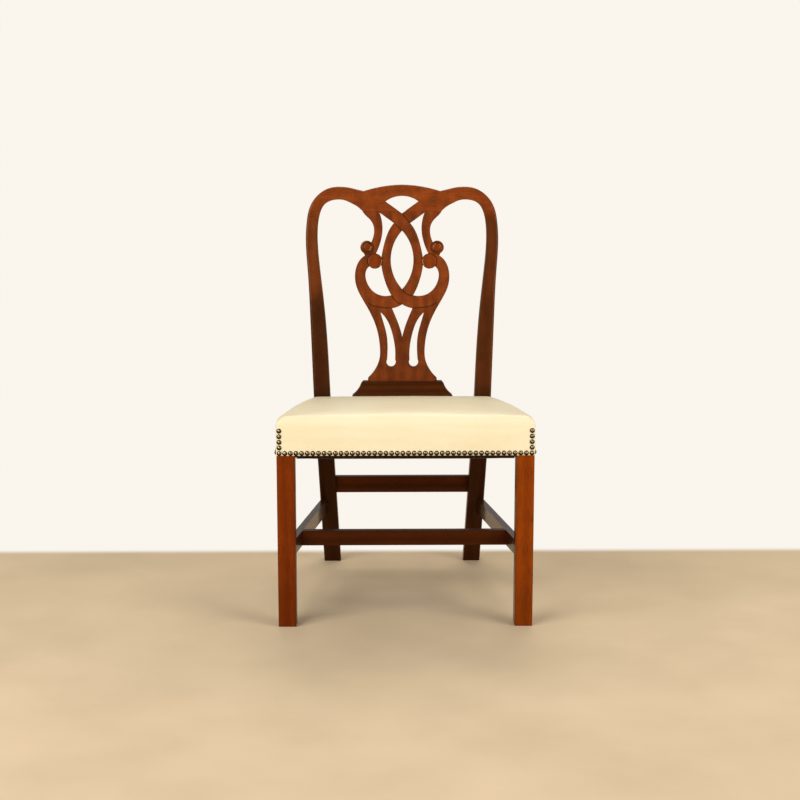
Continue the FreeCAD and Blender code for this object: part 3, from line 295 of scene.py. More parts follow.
upright = (0, 0, 0)
across = (0, math.radians(90), 0)
front_to_back = (math.radians(90), 0, 0)
post_top = 0.8385
leg_tones = (("left", (0.13, 0.016, 0.0005, 1), (0.2, 0.029, 0.001, 1)),
             ("right", (0.17, 0.025, 0.001, 1), (0.27, 0.045, 0.001, 1)))
# Painted shade: each leg is a little darker in its lowest ten centimetres, near the floor.
for side, dark, light in leg_tones:
    leg_wood = mahogany("mahogany_leg_" + side, upright, dark, light, shares=(0.8, 1, 1),
                        borders=(0.1, 1))
    finish_with(leg_wood, "front_leg_" + side)
# Painted shade and reflection: each post is darkest below the seat, dark in the middle and lighter
# near the top, the left one lighter above and darker below than the right.
for side, low_share, middle_share, high_share in (("left", 0.08, 0.2, 0.66),
                                                  ("right", 0.12, 0.31, 0.39)):
    post_wood = mahogany("mahogany_post_" + side, upright, (0.17, 0.034, 0.006, 1),
                         (0.25, 0.054, 0.01, 1), shares=(low_share, middle_share, high_share),
                         borders=(0.44, 0.665), mottle=0.15, coat=0.08, seams=(post_top, ))
    finish_with(post_wood, "back_post_" + side)

# Seat rails: four mahogany rails tenoned into the legs and posts, hidden by the leather except
# behind and below.
# Painted shade: the rear rail and the stretchers are much darker than the legs, for the shade under
# the seat.
cross_wood = mahogany("mahogany_cross_rails", across, (0.025, 0.004, 0.001, 1),
                      (0.06, 0.01, 0.001, 1))
side_wood = mahogany("mahogany_side_rails", front_to_back, (0.03, 0.006, 0.001, 1),
                     (0.07, 0.015, 0.002, 1), coat=0.6)
# Painted shade: the rails under the leather are nearly black, for the shade below its edge.
rail_wood = mahogany("mahogany_rails_in_painted_shade", across, (0.006, 0.002, 0.001, 1),
                     (0.014, 0.004, 0.002, 1))
finish_with(cross_wood, "rear_seat_rail")
finish_with(rail_wood, "front_seat_rail", "side_seat_rail_right", "side_seat_rail_left")

# Stretchers: two at the sides, one between them and a higher one behind, all thin and flat,
# darker than the legs, as painted shade under the seat.
finish_with(side_wood, "side_stretcher_right", "side_stretcher_left")
finish_with(cross_wood, "medial_stretcher", "rear_stretcher")

# Corner blocks: rough-sawn blocks in the corners of the seat frame, unpolished, each held by
# two steel screws.
block_wood = mahogany("mahogany_blocks", across, (0.12, 0.045, 0.02, 1), (0.3, 0.13, 0.06, 1))
finish_with(block_wood, "front_corner_block_right", "front_corner_block_left",
            "rear_corner_block_right", "rear_corner_block_left")

aged, given, result = new_group(
    "aged_metal",
    [("Vector", "NodeSocketVector", None), ("Metal", "NodeSocketColor", None),
     ("Patina", "NodeSocketColor", None), ("Spread", "NodeSocketFloat", 0.5)],
    [("Color", "NodeSocketColor"), ("Roughness", "NodeSocketFloat"),
     ("Height", "NodeSocketFloat")])
blotches = add_node(aged, "ShaderNodeTexNoise", {"Vector": given["Vector"], "Scale": 95.0,
                                                 "Detail": 2.0})
specks = add_node(aged, "ShaderNodeTexNoise", {"Vector": given["Vector"], "Scale": 900.0,
                                               "Detail": 4.0, "Roughness": 0.65})
worn = mixed(aged, 0.45, blotches.outputs[0], specks.outputs[0])
spread = ranged(aged, worn, 0.35, 0.65, 0.0, given["Spread"])
aged.links.new(blended(aged, spread, given["Metal"], given["Patina"]), result.inputs["Color"])
aged.links.new(ranged(aged, worn, 0.3, 0.7, 0.2, 0.36), result.inputs["Roughness"])
aged.links.new(specks.outputs[0], result.inputs["Height"])


def old_metal(name, metal, patina, patina_spread, highlight_axis=None, rim=None):
    """Old metal with blotches of patina. The highlight axis is the direction of a painted
    highlight, where the metal's own colour shows, and the rim is the painted shade away from there."""
    made, tree, shader = new_finish(name)
    shader.inputs["Metallic"].default_value = 1.0
    place = add_node(tree, "ShaderNodeTexCoord")
    finish = add_node(tree, "ShaderNodeGroup", node_tree=aged)
    tree.links.new(place.outputs["Object"], finish.inputs["Vector"])
    finish.inputs["Metal"].default_value = metal
    finish.inputs["Patina"].default_value = patina
    finish.inputs["Spread"].default_value = patina_spread
    raised = add_node(tree, "ShaderNodeBump", {"Strength": 0.2, "Distance": 0.0002,
                                               "Height": finish.outputs["Height"]})
    colour = finish.outputs["Color"]
    if highlight_axis:
        upward = add_node(tree, "ShaderNodeVectorMath", {0: place.outputs["Normal"], 1: highlight_axis},
                          operation="DOT_PRODUCT")
        highlight_share = ranged(tree, upward.outputs["Value"], 0.86, 1.0)
        colour = blended(tree, highlight_share, rim, colour)
    tree.links.new(colour, shader.inputs["Base Color"])
    tree.links.new(finish.outputs["Roughness"], shader.inputs["Roughness"])
    tree.links.new(raised.outputs[0], shader.inputs["Normal"])
    return made


screw_steel = old_metal("screw_steel", (0.35, 0.33, 0.31, 1), (0.12, 0.08, 0.06, 1), 0.7)
finish_with(screw_steel, "corner_block_screws")

# Crest rail: the looped top rail, bandsawn from one thick board with the grain across, its
# upper edges well rounded by hand. Its ears are darkened with painted shade towards the posts,
# the right one more, to meet the posts' painted shade.
splat_top = 0.8615
ear_height, above_all = 0.862, 2.0
ear_fades_from, ear_fades_to = 0.09, 0.14
crest_wood = mahogany("mahogany_crest", across, (0.18, 0.031, 0.004, 1), (0.248, 0.049, 0.007, 1),
                      ribbon_share=0.12, borders=(ear_height, above_all), mottle=0.22,
                      coat=0.12, seams=(post_top, splat_top))
tree = crest_wood.node_tree
place = add_node(tree, "ShaderNodeTexCoord")
parts = add_node(tree, "ShaderNodeSeparateXYZ", {0: place.outputs["Object"]})
left_share, right_share = [ranged(tree, parts.outputs["X"], side * ear_fades_from,
                                  side * ear_fades_to, 1.0, share)
                           for side, share in ((-1, 0.65), (1, 0.4))]
ears_painted_shade = worked_out(tree, "MULTIPLY", left_share, right_share)
shade_and_mottle = next(node for node in tree.nodes if getattr(node, "node_tree", None) == darkened)
tree.links.new(ears_painted_shade, shade_and_mottle.inputs["Low Share"])
finish_with(crest_wood, "crest_rail")

# Splat: a thin board pierced with a fretsaw, grain upright, its front carved with shallow lines
# where one strap passes over another, darkened with painted shade and dark wax. Low down it
# has a little painted shade near the seat.
splat_wood = mahogany("mahogany_splat", upright, (0.135, 0.022, 0.002, 1), (0.215, 0.041, 0.004, 1),
                      shares=(0.78, 1, 1), borders=(0.62, 1), mottle=0.26, coat=0.3,
                      seams=(splat_top, ))
splat_lean_degrees = 9.478
splat_lean = math.radians(splat_lean_degrees)
splat_front = 0.11126
line_from, line_full, line_floor, line_end = 0.0002, 0.0009, 0.0015, 0.0025
tree = splat_wood.node_tree
place = add_node(tree, "ShaderNodeTexCoord")
behind = add_node(tree, "ShaderNodeVectorMath", {0: place.outputs["Object"],
                                                 1: (0, math.cos(splat_lean),
                                                     -math.sin(splat_lean))},
                  operation="DOT_PRODUCT")
# Painted shade and wax: the carved lines, which lie behind the splat's front, are darkened.
sunk = ranged(tree, behind.outputs["Value"], splat_front + line_from, splat_front + line_full)
deeper = ranged(tree, behind.outputs["Value"], splat_front + line_floor,
                splat_front + line_end, 0.55, 0.0)
groove_shade_and_wax = worked_out(tree, "MULTIPLY", sunk, deeper)
base_colour = tree.nodes["Principled BSDF"].inputs["Base Color"]
lined = blended(tree, groove_shade_and_wax, base_colour.links[0].from_socket, wax_and_painted_shade)
tree.links.new(lined, base_colour)
finish_with(splat_wood, "splat")

# Volutes and lobes: the ends of the straps, carved a little proud of the board. Each volute is
# a rolled rim and a hollow turn round a raised eye; each lobe is a flat round with a bevelled
# edge that sinks away towards its strap.
def on_splat(across_by, height):
    """A place on the splat's front."""
    back = (splat_front + math.sin(splat_lean) * height) / math.cos(splat_lean)
    return Vector((across_by, back, height))


def carved_round(name, radius, steps, drift, tilt, place, materials, hollow_steps=(), arcs=()):
    """A round carved with inset steps (inward, up), set on the splat's front. An arc (step, from,
    to), in degrees, is where an edge gets a painted highlight."""
    sides, depth, smooth_below = 64, 0.004, math.radians(48)
    bpy.ops.object.select_all(action="DESELECT")
    bpy.ops.mesh.primitive_cylinder_add(vertices=sides, radius=radius, depth=depth,
                                        location=(0, 0, -depth / 2))
    made = bpy.context.object
    made.name = name
    bpy.ops.object.transform_apply(location=True, rotation=True, scale=True)
    for material in materials:
        made.data.materials.append(material)
    bpy.ops.object.mode_set(mode="EDIT")
    bpy.ops.mesh.select_mode(type="FACE")
    bpy.ops.mesh.select_all(action="DESELECT")
    bpy.ops.object.mode_set(mode="OBJECT")
    for face in made.data.polygons:
        face.select = face.normal.z > 0.9
    bpy.ops.object.mode_set(mode="EDIT")
    for step, (inward, up) in enumerate(steps):
        made.active_material_index = 1 if step in hollow_steps else 0
        bpy.ops.object.material_slot_assign()
        bpy.ops.mesh.inset(thickness=inward, depth=up)
        bpy.ops.transform.translate(value=drift)
        bpy.ops.object.mode_set(mode="OBJECT")
        middle = sum((face.center for face in made.data.polygons if face.select), Vector())
        newest = list(made.data.polygons)[-sides:]
        for arc_step, first, last in arcs:
            for face in newest:
                turn = math.degrees(math.atan2(face.center.y - middle.y, face.center.x - middle.x))
                if arc_step == step and (turn - first) % 360 < last - first:
                    face.material_index = len(materials) - 1
        bpy.ops.object.mode_set(mode="EDIT")
    made.active_material_index = 0
    bpy.ops.object.material_slot_assign()
    bpy.ops.mesh.poke()
    bpy.ops.mesh.select_all(action="SELECT")
    for turn, axis in ((tilt[0], "Y"), (tilt[1], "X"), (splat_lean_degrees - 90, "X")):
        bpy.ops.transform.rotate(value=math.radians(turn), orient_axis=axis,
                                 center_override=(0, 0, 0))
    bpy.ops.transform.translate(value=place)
    bpy.ops.object.mode_set(mode="OBJECT")
    bpy.ops.object.shade_smooth_by_angle(angle=smooth_below)
    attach(made, "root")


# Painted shade: the hollow turns of the volutes get a darker wood.
hollow_shade_wood = mahogany("mahogany_hollows_painted_shade", upright, (0.055, 0.011, 0.003, 1),
                       (0.1, 0.02, 0.004, 1))
lobe_wood = mahogany("mahogany_lobes", upright, (0.15, 0.022, 0.002, 1),
                     (0.23, 0.039, 0.004, 1))
painted_highlight_wood = mahogany("mahogany_painted_highlight", upright, (0.5, 0.24, 0.11, 1), (0.75, 0.42, 0.22, 1))
volute_across, volute_height, volute_radius = 0.0846, 0.775, 0.0151
lobe_across, lobe_height, lobe_radius = 0.0653, 0.7423, 0.0174
volute_steps = ((0.0005, 0.0009), (0.0008, 0.0005), (0.0012, 0.0002), (0.0011, -0.0004),
                (0.0012, -0.0009), (0.0009, 0.0002), (0.0007, 0.0012), (0.0009, 0.0007),
                (0.0018, 0.0004), (0.0026, 0.0001))
lobe_steps = ((0.0005, 0.0007), (0.0009, 0.0004), (0.0035, 0.0001), (0.006, 0.0001))
# Painted highlights: the arcs lighten the edges of the volutes and lobes on the sides turned
# towards the lamps.
for word, side, volute_arcs, lobe_arcs in (
        ("right", 1, ((6, 100, 215), (7, 110, 200), (6, 10, 50)), ((1, 165, 225), )),
        ("left", -1, ((1, 110, 165), (6, -70, 30), (7, -60, 10), (6, 80, 125)), ((1, -45, 15), ))):
    carved_round("carved_volute_" + word, volute_radius, volute_steps,
                 (-side * 0.00022, 0.00012, 0), (0, 0),
                 on_splat(side * volute_across, volute_height),
                 (lobe_wood, hollow_shade_wood, painted_highlight_wood), (2, 3, 4, 5), volute_arcs)
    carved_round("carved_lobe_" + word, lobe_radius, lobe_steps, (0, 0, 0),
                 (-side * 1.8, 1.2), on_splat(side * lobe_across, lobe_height),
                 (lobe_wood, painted_highlight_wood), (), lobe_arcs)

# Shoe: the coved block on the rear rail that holds the foot of the splat, end grain at its
# sides, nearly black.
shoe_wood = mahogany("mahogany_shoe", across, (0.03, 0.006, 0.001, 1), (0.07, 0.013, 0.002, 1))
finish_with(shoe_wood, "splat_shoe")

# Webbing: eight jute straps, four lengthwise and four crosswise, interlaced and tacked tight
# on top of the rails.
weave, given, result = new_group(
    "plain_weave",
    [("Vector", "NodeSocketVector", None), ("Threads", "NodeSocketFloat", 3000.0),
     ("Thread", "NodeSocketColor", None), ("Gap", "NodeSocketColor", None)],
    [("Color", "NodeSocketColor"), ("Height", "NodeSocketFloat")])
spun = add_node(weave, "ShaderNodeVectorMath", {0: given["Vector"]}, operation="SCALE")
weave.links.new(given["Threads"], spun.inputs["Scale"])
parts = add_node(weave, "ShaderNodeSeparateXYZ", {0: spun.outputs[0]})
warp = worked_out(weave, "SINE", parts.outputs[0])
weft = worked_out(weave, "SINE", parts.outputs[1])
crossing = worked_out(weave, "MULTIPLY", warp, weft)
over_under = ranged(weave, crossing, -1.0, 1.0)
slubs = add_node(weave, "ShaderNodeTexNoise", {"Vector": given["Vector"], "Scale": 260.0,
                                               "Detail": 4.0})
uneven = mixed(weave, 0.35, over_under, slubs.outputs[0])
weave.links.new(blended(weave, uneven, given["Gap"], given["Thread"]), result.inputs["Color"])
weave.links.new(uneven, result.inputs["Height"])


def woven(name, threads, thread, gap, sheen, lift):
    """A plain-woven cloth, with the colours of its threads and of the gaps between them."""
    made, tree, shader = new_finish(name)
    shader.inputs["Roughness"].default_value = 0.85
    shader.inputs["Sheen Weight"].default_value = sheen
    place = add_node(tree, "ShaderNodeTexCoord")
    cloth = add_node(tree, "ShaderNodeGroup", node_tree=weave)
    tree.links.new(place.outputs["Object"], cloth.inputs["Vector"])
    cloth.inputs["Threads"].default_value = threads
    cloth.inputs["Thread"].default_value = thread
    cloth.inputs["Gap"].default_value = gap
    raised = add_node(tree, "ShaderNodeBump", {"Strength": 0.5, "Distance": lift,
                                               "Height": cloth.outputs["Height"]})
    tree.links.new(cloth.outputs["Color"], shader.inputs["Base Color"])
    tree.links.new(raised.outputs[0], shader.inputs["Normal"])
    return made


jute = woven("jute_webbing", 1800.0, (0.42, 0.3, 0.17, 1), (0.2, 0.13, 0.07, 1), 0.1, 0.0006)
finish_with(jute, *["webbing_%s_%d" % (way, i) for way in ("lengthwise", "crosswise")
                    for i in (1, 2, 3, 4)])

# Hessian: an open jute cloth tacked over the webbing, along the sloping top of the rails. It
# stops short of the posts, so it has no notches.
low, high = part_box("hessian")
bpy.ops.mesh.primitive_grid_add(x_subdivisions=24, y_subdivisions=20, size=1,
                                location=(0, (low.y + high.y) / 2, (low.z + high.z) / 2))
hessian = bpy.context.object
hessian.name = "hessian_cloth"
hessian.scale = (high.x - low.x, high.y - low.y, 1)
bpy.ops.object.transform_apply(location=True, rotation=True, scale=True)
thickness = 0.0008
slope = (high.z - low.z - thickness) / (high.y - low.y)
taper_start = -0.2435
rear_half = 0.2062
rear_share = rear_half / high.x
for point in hessian.data.vertices:
    point.co.z -= slope * (point.co.y - (low.y + high.y) / 2)
    back = max(0.0, point.co.y - taper_start) / (high.y - taper_start)
    point.co.x *= 1 + (rear_share - 1) * back
solid = hessian.modifiers.new("thickness", "SOLIDIFY")
solid.thickness = thickness
solid.offset = 0.0
bpy.ops.object.modifier_apply(modifier="thickness")
hessian.data.materials.append(woven("open_hessian", 1300.0, (0.5, 0.37, 0.22, 1),
                                    (0.16, 0.1, 0.05, 1), 0.1, 0.0007))
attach(hessian, "root")
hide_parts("hessian")

# Seat form: the outside of the stuffed seat as one closed body, drawn tight over the rails. The
# stuffing and the leather are both made from it.
cover_low, cover_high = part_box("leather_cover")
clear = 0.004
bpy.ops.object.select_all(action="DESELECT")
bpy.ops.mesh.primitive_cube_add(
    size=1,
    location=(0, (cover_low.y + cover_high.y) / 2, (cover_low.z + cover_high.z + clear) / 2),
    scale=(cover_high.x - cover_low.x + 2 * clear, cover_high.y - cover_low.y + 2 * clear,
           cover_high.z - cover_low.z + clear))
form = bpy.context.object
form.name = "seat_form"
bpy.ops.object.transform_apply(location=True, rotation=True, scale=True)


def choose(piece):
    """Make a piece the active one and the only one selected."""
    bpy.ops.object.select_all(action="DESELECT")
    bpy.context.view_layer.objects.active = piece
    piece.select_set(True)


def in_edit_mode(piece, kind, test):
    """Open a piece in edit mode with only the parts selected that pass a test."""
    if bpy.context.object.mode == "EDIT":
        bpy.ops.object.mode_set(mode="OBJECT")
    choose(piece)
    bpy.ops.object.mode_set(mode="EDIT")
    bpy.ops.mesh.select_mode(type=kind)
    bpy.ops.mesh.select_all(action="DESELECT")
    bpy.ops.object.mode_set(mode="OBJECT")
    mesh = piece.data
    for part in {"VERT": mesh.vertices, "EDGE": mesh.edges, "FACE": mesh.polygons}[kind]:
        part.select = test(part)
    bpy.ops.object.mode_set(mode="EDIT")


in_edit_mode(form, "FACE", lambda face: True)
bpy.ops.mesh.bisect(plane_co=(0, taper_start, 0), plane_no=(0, 1, 0))
cover_rear_half = 0.2135
in_edit_mode(form, "VERT", lambda point: point.co.y > 0)
bpy.ops.transform.resize(value=((cover_rear_half + clear) / (cover_high.x + clear), 1, 1),
                         center_override=(0, 0, 0))
in_edit_mode(form, "FACE", lambda face: face.normal.z < -0.5)
bpy.ops.mesh.delete(type="FACE")
bpy.ops.mesh.select_all(action="SELECT")
bpy.ops.mesh.subdivide(number_cuts=49)
bpy.ops.object.mode_set(mode="OBJECT")
wrap = form.modifiers.new("wrap", "SHRINKWRAP")
wrap.target = bpy.data.objects["leather_cover"]
wrap.wrap_method = "NEAREST_SURFACEPOINT"
bpy.ops.object.modifier_apply(modifier="wrap")
in_edit_mode(form, "EDGE", lambda edge: False)
bpy.ops.mesh.select_non_manifold()
bpy.ops.mesh.edge_face_add()
bpy.ops.mesh.select_all(action="SELECT")
bpy.ops.mesh.normals_make_consistent(inside=False)
bpy.ops.object.mode_set(mode="OBJECT")
even = form.modifiers.new("even", "REMESH")
even.mode = "VOXEL"
even.voxel_size = 0.005
bpy.ops.object.modifier_apply(modifier="even")

# Stuffing: curled hair under a layer of cotton felt, pressed to the seat's form and resting on
# the hessian.
over_hessian = 0.0006
under_leather = 0.0024
stuffing = form.copy()
stuffing.data = form.data.copy()
stuffing.name = "seat_stuffing"
bpy.context.collection.objects.link(stuffing)
in_edit_mode(stuffing, "FACE", lambda face: True)
bpy.ops.mesh.bisect(plane_co=(0, low.y, high.z + over_hessian), plane_no=(0, slope, 1),
                    clear_inner=True, use_fill=True)
bpy.ops.mesh.select_all(action="SELECT")
bpy.ops.transform.shrink_fatten(value=-under_leather)
bpy.ops.object.mode_set(mode="OBJECT")
felt, tree, shader = new_finish("cotton_felt")
shader.inputs["Roughness"].default_value = 0.95
shader.inputs["Sheen Weight"].default_value = 0.4
place = add_node(tree, "ShaderNodeTexCoord")
fibres = add_node(tree, "ShaderNodeTexNoise", {"Vector": place.outputs["Object"], "Scale": 420.0,
                                               "Detail": 6.0, "Distortion": 2.0})
carded = blended(tree, fibres.outputs[0], (0.55, 0.5, 0.42, 1), (0.86, 0.82, 0.74, 1))
raised = add_node(tree, "ShaderNodeBump", {"Strength": 0.6, "Distance": 0.001,
                                           "Height": fibres.outputs[0]})
tree.links.new(carded, shader.inputs["Base Color"])
tree.links.new(raised.outputs[0], shader.inputs["Normal"])
stuffing.data.materials.clear()
stuffing.data.materials.append(felt)
bpy.ops.object.shade_smooth()
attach(stuffing, "root")
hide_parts("seat_pad")

# Leather: one cream hide pulled over the stuffing and down the rails, nailed along its lower
# edge, folded at the two front corners and tucked down behind.
nail_line = 0.378
nail_pitch = 0.0118
nailed_below = 0.384
tucked_behind = cover_high.y - 0.008
wall_x = 0.2725
wall_front = cover_low.y
corner_depth, corner_inner, corner_top = 0.012, 0.258, 0.432
top_from = 0.44
swell_most, sink_most, swell_soft = 0.0013, 0.0005, 0.004
leather = form
leather.name = "seat_leather"


def held_down(spot):
    """Whether nails or folds hold the leather at a place."""
    by_corner = spot.y < wall_front + corner_depth and abs(spot.x) > corner_inner
    return (spot.z < nailed_below or spot.y > tucked_behind
            or by_corner and spot.z < corner_top)


before = [(point.co.copy(), point.normal.copy()) for point in leather.data.vertices]
pins = leather.vertex_groups.new(name="nailed")
for point in leather.data.vertices:
    if held_down(point.co):
        pins.add([point.index], 1.0, "REPLACE")
choose(leather)
swell = leather.modifiers.new("swell", "CLOTH")
swell.settings.quality = 6
swell.settings.mass = 0.3
swell.settings.tension_stiffness = 80
swell.settings.compression_stiffness = 80
swell.settings.bending_stiffness = 2.0
swell.settings.tension_damping = 20
swell.settings.compression_damping = 20
swell.settings.bending_damping = 5
swell.settings.air_damping = 6
swell.settings.vertex_group_mass = "nailed"
swell.settings.use_pressure = True
swell.settings.uniform_pressure_force = 1.5
swell.settings.effector_weights.gravity = 0.0
swell.collision_settings.use_collision = False
for step in range(1, 15):
    bpy.context.scene.frame_set(step)
bpy.ops.object.modifier_apply(modifier="swell")
bpy.context.scene.frame_set(1)
for point, (start, out) in zip(leather.data.vertices, before):
    moved = (point.co - start).dot(out)
    most = swell_most if moved > 0 else sink_most
    point.co = start + out * (most * math.tanh(moved / swell_soft))
leather.vertex_groups.clear()
smooth = leather.modifiers.new("smooth", "SUBSURF")
smooth.levels = smooth.render_levels = 1
choose(leather)
bpy.ops.object.modifier_apply(modifier="smooth")

# Its lower edge is trimmed just below the nails.
trimmed_by = 0.0048
rim = cover_low.z + trimmed_by
in_edit_mode(leather, "FACE", lambda face: True)
bpy.ops.mesh.bisect(plane_co=(0, 0, rim), plane_no=(0, 0, 1), clear_inner=True)
bpy.ops.object.mode_set(mode="OBJECT")


def fading(distance, width):
    """1 at a line or place, and less with the distance from it."""
    return math.exp(-(distance / width) ** 2)


# The hide puckers a little above each nail, keeps a soft crease over each corner column, and
# its top lies in slow shallow hollows.
pucker_size, pucker_reach = 0.00035, 0.011
hollow_size, hollow_scale, side_share = 0.0009, 9.0, 0.35
grain_size, grain_scale = 0.0003, 42.0
crease_size, crease_x, crease_width = 0.0012, 0.2655, 0.0035
crease_from, crease_length = 0.428, 0.024
for point in leather.data.vertices:
    spot = point.co
    on_side = abs(spot.x) > wall_x - 0.06 and spot.y > wall_front + 0.01
    along = spot.y if on_side else spot.x
    above = max(0.0, spot.z - nail_line)
    flank = Vector((spot.x, spot.y + 0.05, 0)).normalized()
    out = flank if spot.z < top_from else Vector((0, 0, 1))
    pucker = (pucker_size * math.cos(2 * math.pi * along / nail_pitch)
              * fading(above, pucker_reach))
    slow = (hollow_size * noise.noise(spot * hollow_scale)
            * (1.0 if spot.z > top_from else side_share))
    small = grain_size * noise.noise(spot * grain_scale)
    crease = 0.0
    if spot.y < wall_front + 0.03 and spot.z > crease_from:
        crease = (-crease_size * fading(abs(spot.x) - crease_x, crease_width)
                  * fading(spot.z - crease_from, crease_length))
    point.co = spot + out * (pucker + slow + small + crease) * (0 if above == 0 else 1)

# It lies on the wood of the legs and rails and never inside it. Only upright faces push it
# out, and less and less above the wood's top.
search_reach, off_wood, fade_over_wood = 0.006, 0.0011, 0.003
bpy.context.view_layer.update()
for name in ("front_leg_left", "front_leg_right", "front_seat_rail", "side_seat_rail_left",
             "side_seat_rail_right", "back_post_left", "back_post_right"):
    wood_piece = bpy.data.objects[name]
    for point in leather.data.vertices:
        hit, nearest, square_off = wood_piece.closest_point_on_mesh(
            point.co, distance=search_reach)[:3]
        if hit and abs(square_off.z) < 0.3:
            short = max(0.0, off_wood - (point.co - nearest).dot(square_off))
            point.co += square_off * short * fading(point.co.z - nearest.z, fade_over_wood)

# Its cut edge shows the hide's thickness and turns up a little behind.
edge_drop, edge_turned_up = 0.001, 0.004
edge_inward, seat_middle = (0.9945, 0.994, 1), (0, -0.053, 0)
in_edit_mode(leather, "EDGE", lambda edge: False)
bpy.ops.mesh.select_non_manifold()
bpy.ops.mesh.extrude_region_move(TRANSFORM_OT_translate={"value": (0, 0, -edge_drop)})
bpy.ops.mesh.extrude_region_move()
bpy.ops.transform.resize(value=edge_inward, center_override=seat_middle)
bpy.ops.mesh.extrude_region_move(TRANSFORM_OT_translate={"value": (0, 0, edge_turned_up)})
bpy.ops.mesh.select_all(action="SELECT")
bpy.ops.mesh.normals_make_consistent(inside=False)
bpy.ops.object.mode_set(mode="OBJECT")
bpy.ops.object.shade_smooth()

hide, tree, shader = new_finish("cream_leather")
shader.inputs["Coat Weight"].default_value = 0.12
shader.inputs["Coat Roughness"].default_value = 0.35
shader.inputs["Specular IOR Level"].default_value = 0.4
place = add_node(tree, "ShaderNodeTexCoord")
pebbles = add_node(tree, "ShaderNodeTexVoronoi", {"Vector": place.outputs["Object"],
                                                  "Scale": 780.0, "Randomness": 1.0},
                   feature="SMOOTH_F1")
folds = add_node(tree, "ShaderNodeTexNoise", {"Vector": place.outputs["Object"], "Scale": 34.0,
                                              "Detail": 5.0, "Distortion": 1.5})
handled = add_node(tree, "ShaderNodeTexNoise", {"Vector": place.outputs["Object"], "Scale": 7.0,
                                                "Detail": 3.0})
warmth = ranged(tree, handled.outputs[0], 0.35, 0.65)
cream = blended(tree, warmth, (0.92, 0.84, 0.6, 1), (0.9, 0.8, 0.54, 1))
creased = ranged(tree, pebbles.outputs["Distance"], 0.35, 0.8, 0.0, 0.16)
tanned = blended(tree, creased, cream, (0.6, 0.44, 0.24, 1))
gloss = ranged(tree, folds.outputs[0], 0.3, 0.7, 0.4, 0.52)
relief = worked_out(tree, "MULTIPLY_ADD", pebbles.outputs["Distance"], -0.5, folds.outputs[0])
raised = add_node(tree, "ShaderNodeBump", {"Strength": 0.3, "Distance": 0.0005,
                                           "Height": relief})
tree.links.new(tanned, shader.inputs["Base Color"])
tree.links.new(gloss, shader.inputs["Roughness"])
tree.links.new(raised.outputs[0], shader.inputs["Normal"])
leather.data.materials.clear()
leather.data.materials.append(hide)
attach(leather, "root")
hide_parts("leather_cover")

# Nails: domed brass nails, chemically browned, with a painted highlight on their crowns and
# painted shade round their sides, nearly touching, along the front and the sides and up each
# front corner.
bright_brass, browned_brass = (0.62, 0.5, 0.31, 1), (0.3, 0.22, 0.11, 1)
painted_rim_shade = (0.03, 0.018, 0.007, 1)
for facing, highlight_axis, names in (
        ("front", (0, -0.97, 0.24), ("front_row_nails", "corner_nails_right",
                                     "corner_nails_left")),
        ("right", (0.97, 0.1, 0.24), ("side_nails_right", )),
        ("left", (-0.97, 0.1, 0.24), ("side_nails_left", ))):
    brass = old_metal("antique_brass_" + facing, bright_brass, browned_brass, 0.6, highlight_axis,
                      painted_rim_shade)
    finish_with(brass, *names)

# Dust cover: black cambric stretched under the seat frame and tacked round its edge; between
# the tacks it hangs a few millimetres slack, in front below the edge of the leather.
cloth_low, cloth_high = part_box("dust_cover")
cloth_height = 0.3686
cloth_rear_half = 0.2086
bpy.ops.object.select_all(action="DESELECT")
bpy.ops.mesh.primitive_grid_add(
    x_subdivisions=66, y_subdivisions=60, size=1,
    location=(0, (cloth_low.y + cloth_high.y) / 2, cloth_height))
dust_cloth = bpy.context.object
dust_cloth.name = "dust_cloth"
dust_cloth.scale = (cloth_high.x - cloth_low.x, cloth_high.y - cloth_low.y, 1)
bpy.ops.object.transform_apply(location=True, rotation=True, scale=True)
leg_inner = 0.229
leg_back = -0.2395
post_inner = 0.1665
post_front = 0.1735
for point in dust_cloth.data.vertices:
    back = max(0.0, point.co.y - leg_back) / (post_front - leg_back)
    point.co.x *= 1 - (1 - cloth_rear_half / cloth_high.x) * min(1.0, back)
for place_on, square_to in (((leg_inner, 0, 0), (1, 0, 0)), ((-leg_inner, 0, 0), (1, 0, 0)),
                            ((0, leg_back, 0), (0, 1, 0)), ((post_inner, 0, 0), (1, 0, 0)),
                            ((-post_inner, 0, 0), (1, 0, 0)), ((0, post_front, 0), (0, 1, 0))):
    in_edit_mode(dust_cloth, "FACE", lambda face: True)
    bpy.ops.mesh.bisect(plane_co=place_on, plane_no=square_to)


def in_notch(face):
    """Inside the notches that let the legs and posts through."""
    spot = face.center
    by_leg = abs(spot.x) > leg_inner and spot.y < leg_back
    by_post = abs(spot.x) > post_inner and spot.y > post_front
    return by_leg or by_post


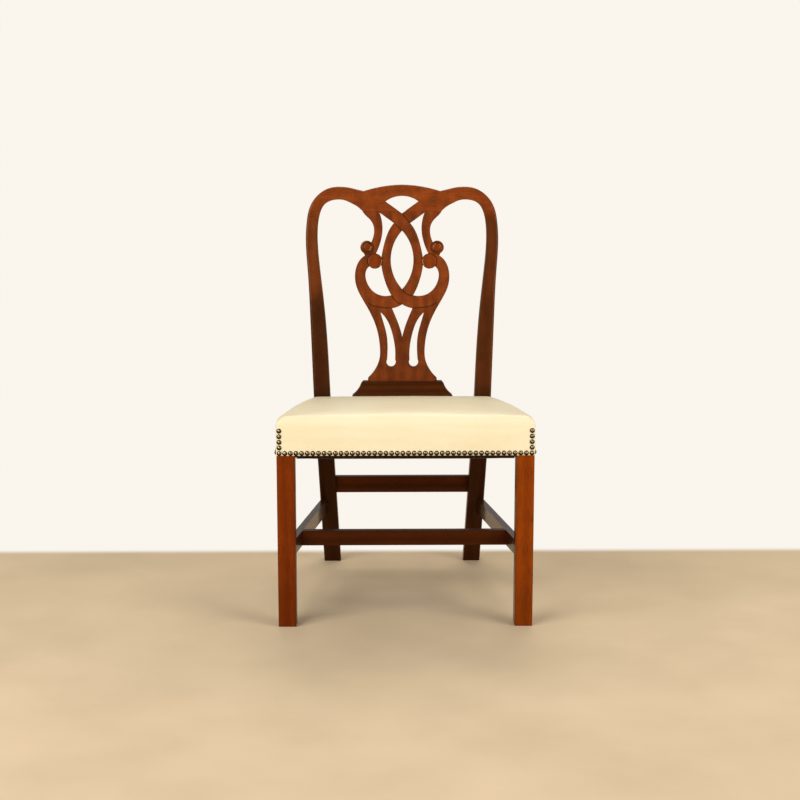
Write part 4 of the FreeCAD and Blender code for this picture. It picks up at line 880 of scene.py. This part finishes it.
in_edit_mode(dust_cloth, "FACE", in_notch)
bpy.ops.mesh.delete(type="FACE")
bpy.ops.object.mode_set(mode="OBJECT")
pins = dust_cloth.vertex_groups.new(name="tacked")
tack_pitch, tack_inset, tack_reach = 0.062, 0.0145, 0.009
side_tacks = [-0.2215 + tack_pitch * i for i in range(7)]
tacks = [(side * (0.2735 - 0.14 * max(0.0, y - taper_start) - tack_inset), y)
         for y in side_tacks for side in (1, -1)]
tacks += [(side * 0.218, -0.2695) for side in (1, -1)]
tacks += [(-0.155 + tack_pitch * i, 0.1885) for i in range(6)]
for point in dust_cloth.data.vertices:
    nearest = min(math.hypot(point.co.x - x, point.co.y - y) for x, y in tacks)
    if nearest < tack_reach:
        pins.add([point.index], 1.0, "REPLACE")
before = [point.co.copy() for point in dust_cloth.data.vertices]
hang = dust_cloth.modifiers.new("hang", "CLOTH")
hang.settings.quality = 5
hang.settings.mass = 0.15
hang.settings.tension_stiffness = 12
hang.settings.compression_stiffness = 12
hang.settings.bending_stiffness = 0.4
hang.settings.vertex_group_mass = "tacked"
hang.settings.shrink_min = -0.0015
hang.collision_settings.use_collision = False
for step in range(1, 26):
    bpy.context.scene.frame_set(step)
bpy.ops.object.modifier_apply(modifier="hang")
bpy.context.scene.frame_set(1)
front_slack, more_behind, slack_soft, front_strip = 0.0024, 0.0018, 0.008, 0.05
for point, start in zip(dust_cloth.data.vertices, before):
    from_front = min(1.0, (start.y - cloth_low.y) / front_strip)
    slack = front_slack + more_behind * from_front
    drop = slack * math.tanh(max(0.0, start.z - point.co.z) / slack_soft)
    point.co = Vector((start.x, start.y, start.z - drop))
dust_cloth.vertex_groups.clear()
solid = dust_cloth.modifiers.new("thickness", "SOLIDIFY")
solid.thickness = 0.0007
bpy.ops.object.modifier_apply(modifier="thickness")
bpy.ops.object.shade_smooth()
dust_cloth.data.materials.append(woven("black_cambric", 3600.0, (0.022, 0.02, 0.02, 1),
                                       (0.006, 0.005, 0.005, 1), 0.3, 0.0003))
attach(dust_cloth, "root")
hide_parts("dust_cover")
tack_steel = old_metal("blued_tacks", (0.1, 0.1, 0.11, 1), (0.03, 0.025, 0.02, 1), 0.6)
finish_with(tack_steel, "dust_cover_tacks")
